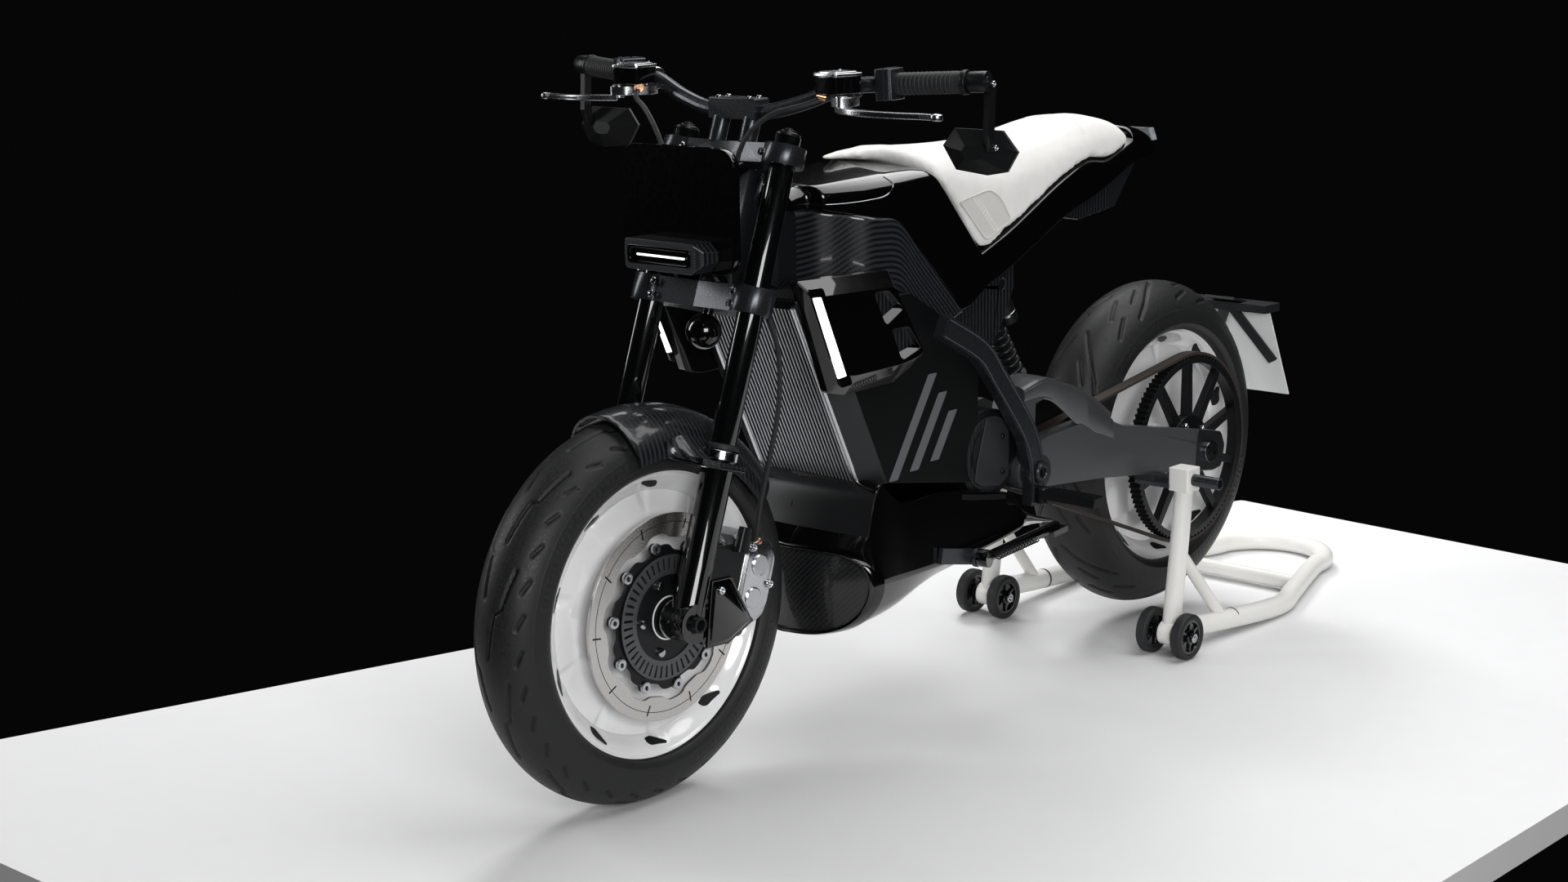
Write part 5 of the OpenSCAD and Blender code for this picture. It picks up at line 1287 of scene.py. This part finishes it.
def side_pad():
    """Suede pad sewn on the seat's side: outlines that shrink to the middle, thrown onto the seat and lifted by a
    height that is highest at a rolled border."""
    loop = rounded(PAD, 14, 6)
    shares = np.array([1.0, 0.985, 0.96, 0.93, 0.9, 0.87, 0.6, 0.3, 0.02])
    lift = np.array([-1.5, 1.6, 2.6, 2.2, 1.0, 0.8, 1.2, 1.4, 1.4])
    flat = np.insert(shrunk(loop, shares[:, None, None]).reshape(-1, 2), 1, BESIDE_Y, axis=1)
    on = laid_on(seat, flat, (0, -1, 0))
    grid = on.reshape(len(shares), -1, 3) + np.stack([0 * lift, lift, 0 * lift], 1)[:, None]
    back = grid[:1] - [0, 5, 0]
    pad = piece("seat_side_pads", mirrored(skin(np.concatenate([back, grid]))), "grey_suede", "chassis",
                crease=60)
    t = np.linspace(0, 0.84, 14)[:, None]
    rows = [np.array([-670 + k, BESIDE_Y, 571]) * (1 - t) + np.array([-736 + k, BESIDE_Y, 503]) * t for k in (-5, 5)]
    spots = laid_on(seat, np.vstack(rows), (0, -1, 0)) + [0, 2.1, 0]
    spots = spots[spots[:, 1] < MISSED_Y]
    stitch = tube([(-1.9, 0, 2.0), (-0.6, 0.5, 0.7), (0.6, 0.5, -0.7), (1.9, 0, -2.0)], 0.6, 6, up=(0, 1, 0))
    stitches = strewn(stitch, spots)
    piece("seat_stitches", mirrored(stitches), "white_leather", "chassis")
    y = np.linspace(-78, 78, 40)
    seams = [np.column_stack([x + 12 * (y / 78)**2, y, np.full(40, 760.0)]) for x in (-1046, -1052)]
    piping = [tube(laid_on(seat, seam, (0, 0, -1)), 1.0, 8) for seam in seams]
    piece("seat_rear_seams", joined(piping), "white_leather", "chassis")


side_pad()


# Rear end


PIVOT = np.array([-800, 0, 95])
MOTOR = np.array([-704, 0, 139])
HOOD = [(-780, 243), (-842, 251), (-915, 228), (-985, 193), (-1042, 148)]


def belt_hood():
    """Hood of the swingarm over the belt: a path carried across the arm, its outer edge rounded down, its inner edge
    drawn back where the belt comes out."""
    line = smooth(HOOD, 10)
    inner = np.interp(-line[:, 0], (780, 905, 975, 1042), (78, 78, 115, 116))
    shares, drops = np.array([0, 0.1, 0.5, 0.8, 0.93, 1.0, 1.0]), np.array([5, 0, 0, 1, 4, 9, 24])
    y = inner[:, None] + (147 - inner[:, None]) * shares
    depth = np.interp(-line[:, 0], (780, 860, 930, 990, 1042), (0.9, 1.4, 2.4, 2.4, 1.4))[:, None]
    drop = drops * np.where(drops > 20, depth, 1)
    grid = np.stack([line[:, :1] + 0 * y, y, line[:, 1:] - drop], -1)
    # Painted shade: a dark wall under the hood, so the space beneath it reads black.
    under = np.vstack([line[4:] - [0, 7], [(-1030, 136), (-980, 140), (-900, 132), (-830, 126), (-800, 132)]])
    piece("swingarm_inner_wall_shade", prism(under, 75, 79), "satin_black_metal", "chassis")
    piece("swingarm_hood", slab(grid, (0, -3, -9)), "cast_grey_aluminium", "chassis", bevel=1.5)


belt_hood()
arm_end = rounded([(-1312, 84), (-1392, 67), (-1405, 40), (-1394, 0), (-1368, -4), (-1308, 5)], 6, 4)
piece("swingarm_ends", mirrored(frustum(arm_end, shrunk(arm_end, 0.97), 145.5, 148)), "satin_black_metal",
      "chassis", bevel=1)
ring = turned([(10, 0), (15, 0), (16, 1), (16, 5), (15, 6), (10, 6), (9, 5), (9, 0)], 48)
piece("pivot_rings", mirrored(moved(ring, PIVOT + [0, 166, 0])), "graphite_anodised", "chassis")


def motor_covers():
    """Toothed ring, carbon ring and grey half-moon on the motor's left end, one on the other, and their bolts."""
    teeth = ring_plate(wave(74.2, 1.7, 66), 62, 112, 131, steps=792)
    piece("motor_toothed_ring", moved(teeth, MOTOR), "satin_black_metal", "chassis")
    turn = np.linspace(-2.05, 2.05, 60) + math.pi / 2
    outer, inner = (np.column_stack([r * np.sin(turn), r * np.cos(turn)]) for r in (64, 34))
    arc = prism(np.vstack([outer, inner[::-1]]), 130.5, 133)
    piece("motor_carbon_ring", moved(arc, MOTOR), "carbon_weave", "chassis", bevel=0.6)
    turn = np.linspace(math.radians(76), math.radians(218), 50)
    edge = np.column_stack([63 * np.cos(turn), 63 * np.sin(turn)])
    moon = prism(np.vstack([np.maximum(edge, [-46, -99]),
                            [(-46, -44), (-20, -58), (30, -50), (46, -40), (40, -10), (26, 30)]]), 132.5, 137)
    piece("motor_half_moon", moved(moon, MOTOR), "facet_grey", "chassis", bevel=1)
    heads = joined([moved(bolt_head(5, 4), MOTOR + [x, 136, z]) for x, z in ((-28, 26), (-28, -34))])
    piece("motor_cover_bolts", heads, "satin_black_metal", "chassis")


motor_covers()


def rear_pulley():
    """Belt pulley about the rear axle: a toothed ring whose edge is a square wave of the angle, ten tapered spokes, a
    turned hub and its bolts."""
    teeth = ring_plate(wave(173.6, 2.3, 96), 161, 85.2, 108.8, steps=1152)
    spoke = prism([(-10, 56), (10, 56), (7, 163), (-7, 163)], 89, 104)
    spokes = spun(spoke, 10)
    hub = turned([(30, 86), (30, 107), (36, 108.6), (48, 108.6), (62, 105), (64, 101), (64, 88), (62, 86)], 64)
    piece("rear_pulley_toothed", joined([teeth, spokes, hub]), "satin_black_metal", "rear_wheel",
          ("rear_pulley",), bevel=0.7, place=on_rear)
    bolts = spun(moved(bolt_head(5.5, 5), (0, 107.5, 50)), 5, 0.4)
    piece("rear_pulley_bolts", bolts, "chromed_steel", "rear_wheel", place=on_rear)


rear_pulley()


def foot_controls():
    """Serrated pegs: rows of small teeth along both edges; and the side stand's spring, a coil along a line."""
    square = np.array([(-1, -1), (1, -1), (1, 1), (-1, 1)])
    tooth = frustum(square * [2.6, 2.2], square * [1.0, 1.2], 0, 4, axis=2)
    y = np.linspace(190, 288, 17)
    spots = np.vstack([np.column_stack([np.full(17, -794 + k), y, np.full(17, 68.5)]) for k in (-10, 0, 10)])
    piece("footpeg_teeth", mirrored(strewn(tooth, spots)), "satin_black_metal", "chassis")
    hinge = moved(turned([(0, 14), (11, 14), (12, 12), (12, -12), (11, -14), (0, -14)], 24), (-794, 176, 58), UPRIGHT)
    piece("footpeg_hinges", mirrored(hinge), "satin_black_metal", "chassis", bevel=1)
    turn = np.linspace(0, 2 * np.pi * 14, 14 * 12)
    share = turn / turn[-1]
    coil = np.column_stack([-640 - 110 * share, 196 + 5 * np.cos(turn), -16 + 9 * share + 5 * np.sin(turn)])
    piece("side_stand_spring", tube(coil, 1.3, 6, up=(1, 0, 0)), "satin_black_metal", "side_stand")


foot_controls()

# Raised edges of the frame tube: two lines beside its middle line
tube_line = smooth([(-548, 378), (-641, 327), (-689, 273), (-772, 166), (-794, 95), (-794, 46)], 8)
ahead = np.gradient(tube_line, axis=0)
beside = np.column_stack([-ahead[:, 1], ahead[:, 0]]) / np.linalg.norm(ahead, axis=1)[:, None]
rails = joined([tube(np.insert(tube_line + k * beside, 1, 165, axis=1), 3, 10, up=(0, 1, 0)) for k in (-14.5, 14.5)])
piece("frame_tube_edges", mirrored(rails), "graphite_anodised", "chassis")

# Shock reservoir beside the spring, with two bright bands
CAN_ENDS = ((-880, 34, 332), (-838, 34, 408))
can = turned([(0, 0), (17, 0), (19, 2), (19, 62), (17, 64), (17, 66), (20, 67), (20, 76), (18, 78), (0, 78)], 40)
piece("shock_reservoir", along(can, *CAN_ENDS), "satin_black_metal", "chassis", bevel=0.6)
bands = joined([turned([(19, y), (19.6, y + 0.5), (19.6, y + 5), (19, y + 5.5)], 40) for y in (16, 44)])
piece("shock_reservoir_bands", along(bands, *CAN_ENDS), "chromed_steel", "chassis")

# Paddock stand
CASTOR = np.array([-1139, 208, -258])
STAND_PEG = (-1177, 208, 23)


def castors():
    """Each wheel is turned: a round rubber tread, a recessed hub and a raised middle; the pair shares one axle."""
    tread = turned(rounded([(31, -12), (42, -10), (42, 10), (31, 12)], 5, 6), 64)
    hub = turned([(31.5, 9), (27, 9), (25, 4), (15, 4), (13, 10), (9, 12), (8, 12), (8, -12), (9, -12), (13, -10),
                  (15, -4), (25, -4), (27, -9), (31.5, -9)], 48)
    spokes = spun(moved(box((5, 16, 14), 1.5), (0, 0, 21)), 6)
    bolt = joined([turned([(0, -50), (7.6, -50), (7.6, 50), (0, 50)], 24), moved(bolt_head(9, 5), (0, 50, 0)),
                   moved(bolt_head(9, 5), (0, -50, 0), facing((0, -1, 0)))])
    for side, body in ((1, "castors_left"), (-1, "castors_right")):
        at = [CASTOR * [1, side, 1] + [0, y, 0] for y in (-37, 37)]
        piece(body + "_treads", joined([moved(tread, k) for k in at]), "moulded_rubber", body, (body,))
        piece(body + "_hubs", joined([moved(joined([hub, spokes]), k) for k in at]), "fork_black", body)
        piece(body + "_axle", moved(bolt, CASTOR * [1, side, 1]), "chromed_steel", body)


castors()


def stand():
    """Paddock stand: a bent tube from one castor around the loop to the other, uprights, braces and a cross tube, with
    small sockets, steel sleeves on the pegs, and dark collars where the tubes are joined."""
    loop_turn = np.linspace(math.pi / 2, 3 * math.pi / 2, 13)
    side = np.array([(-1143, 208, -252), (-1289, 216, -267), (-1484, 222, -281), (-1594, 190, -281),
                     (-1729, 142, -281)])
    loop = np.column_stack([-1801 + 120 * np.cos(loop_turn), 120 * np.sin(loop_turn), np.full(13, -281)])
    rail = smooth(np.vstack([side, loop, (side * [1, -1, 1])[::-1]]), 5)
    upright = tube(smooth([(-1143, 208, -252), (-1150, 208, -205), (-1163, 208, -114), (-1177, 208, 8)], 6), 17.1, 28)
    brace = tube([(-1163, 208, -108), (-1305, 216, -269)], 11.2, 24)
    socket = box((42, 42, 42), 5, STAND_PEG)
    boss = moved(turned([(8.6, -14), (21, -14), (22, -13), (22, 13), (21, 14), (8.6, 14)], 40), CASTOR)
    cross = tube([(-1651, -172, -281), (-1651, 172, -281)], 15.2, 24)
    piece("stand_tubes", joined([tube(rail, 19, 28), cross, mirrored(joined([upright, brace, socket, boss]))]),
          "white_stand_paint", "chassis", ("stand_frame",), bevel=1.5)
    plate = prism([(-1202, 8), (-1153, 14), (-1153, 6), (-1202, 0)], 117, 190)
    sleeve = moved(turned([(8, 20), (11, 20), (11, 75), (10, 76), (8, 76)], 32), STAND_PEG)
    piece("stand_fittings", mirrored(joined([plate, sleeve])), "graphite_anodised", "chassis", bevel=0.6)
    collar = turned([(18.6, -2), (19.4, -1.4), (19.4, 1.4), (18.6, 2)], 40)
    piece("stand_collars", mirrored(along(collar, (-1330, 217.4, -270), (-1360, 218.4, -272.2))), "moulded_plastic",
          "chassis")


stand()

# Number plate: a raised border and four rivets, on the leaning plate
on_plate = leaning((-1647, 251), math.radians(24.7))
border = [rounded([(-w, -h), (w, -h), (w, h), (-w, h)], 10, 5) - [0, 94] for w, h in ((86, 91), (83, 88))]
piece("plate_border", carved(prism(border[0], -4, -2, axis=0), prism(border[1], -9, 9, axis=0)), "blank_plate",
      "chassis", place=on_plate)
rivets = joined([moved(bolt_head(4, 2), (-3, y, z), facing((-1, 0, 0))) for y in (-60, 60) for z in (-30, -158)])
piece("plate_rivets", rivets, "chromed_steel", "chassis", place=on_plate)


# Studio


# The floor's corners in metres from the front axle's foot
FLOOR = [(-2.255, -0.341), (0.8, -1.086), (0.775, 1.1), (-2.15, 1.085)]


def studio():
    """A pale floor slab in a dark room, and four soft boxes."""
    corners = np.array(FLOOR) + [FRONT_AXLE[0], 0]
    verts, faces = prism(rounded(corners, 0.01, 3), -0.05, -0.0005, axis=2)
    mesh = bpy.data.meshes.new("floor")
    mesh.from_pydata(verts.tolist(), [], faces)
    floor = bpy.data.objects.new("floor", mesh)
    scene.collection.objects.link(floor)
    mesh.materials.append(grained("studio_floor", "#e4e4e5", 40, (0.5, 0.6)))
    world = bpy.data.worlds.new("room")
    world.use_nodes = True
    world.node_tree.nodes["Background"].inputs["Color"].default_value = linear("#060607")
    scene.world = world
    # Soft boxes: name, place, size in metres, power in watts
    for name, place, size, power in (
            ("overhead", (-0.9, 0.3, 3.4), (5.6, 2.6), 150),
            ("front_left", (3.0, 3.8, 1.9), (2.0, 1.6), 125),
            ("rear_right", (-2.4, -2.4, 2.8), (1.2, 1.0), 105),
            ("front_right", (2.4, -3.2, 2.0), (0.6, 2.4), 50)):
        light = bpy.data.lights.new(name, "AREA")
        light.shape = "RECTANGLE"
        light.size, light.size_y = size
        light.energy = power
        lamp = bpy.data.objects.new(name, light)
        back = np.array(place) - [0, 0, 0.5]
        lamp.matrix_world = Matrix.Translation(place) @ Matrix(facing_camera(back)).to_4x4()
        lamp.visible_camera = False
        lamp.visible_glossy = name != "rear_right"
        scene.collection.objects.link(lamp)


def facing_camera(back, roll=0.0):
    """Axes of a camera or lamp whose rear points along back, rolled about it."""
    back = unit(np.asarray(back, float))
    right = unit(np.cross([0, 0, 1], back))
    up = np.cross(back, right)
    c, s = math.cos(roll), math.sin(roll)
    return np.stack([c * right + s * up, c * up - s * right, back], 1)


# The photograph's view: place in metres from the front axle's foot on the floor, angles in degrees
CAMERA_AT = (2.482, 2.597, 1.324)
CAMERA_TURN, CAMERA_RISE, CAMERA_ROLL = 42.64, 12.07, -0.81
CAMERA_LENS_MM = 56.3


def photo_camera():
    """Camera at the photograph's place and angles."""
    data = bpy.data.cameras.new("camera")
    data.lens = CAMERA_LENS_MM
    camera = bpy.data.objects.new("camera", data)
    turn, rise = math.radians(CAMERA_TURN), math.radians(CAMERA_RISE)
    back = (math.cos(turn) * math.cos(rise), math.sin(turn) * math.cos(rise), math.sin(rise))
    place = np.array(CAMERA_AT) + [FRONT_AXLE[0], 0, 0]
    camera.matrix_world = Matrix.Translation(place) @ Matrix(facing_camera(back, math.radians(CAMERA_ROLL))).to_4x4()
    scene.collection.objects.link(camera)
    scene.camera = camera


studio()
photo_camera()
scene.view_settings.view_transform = "Standard"
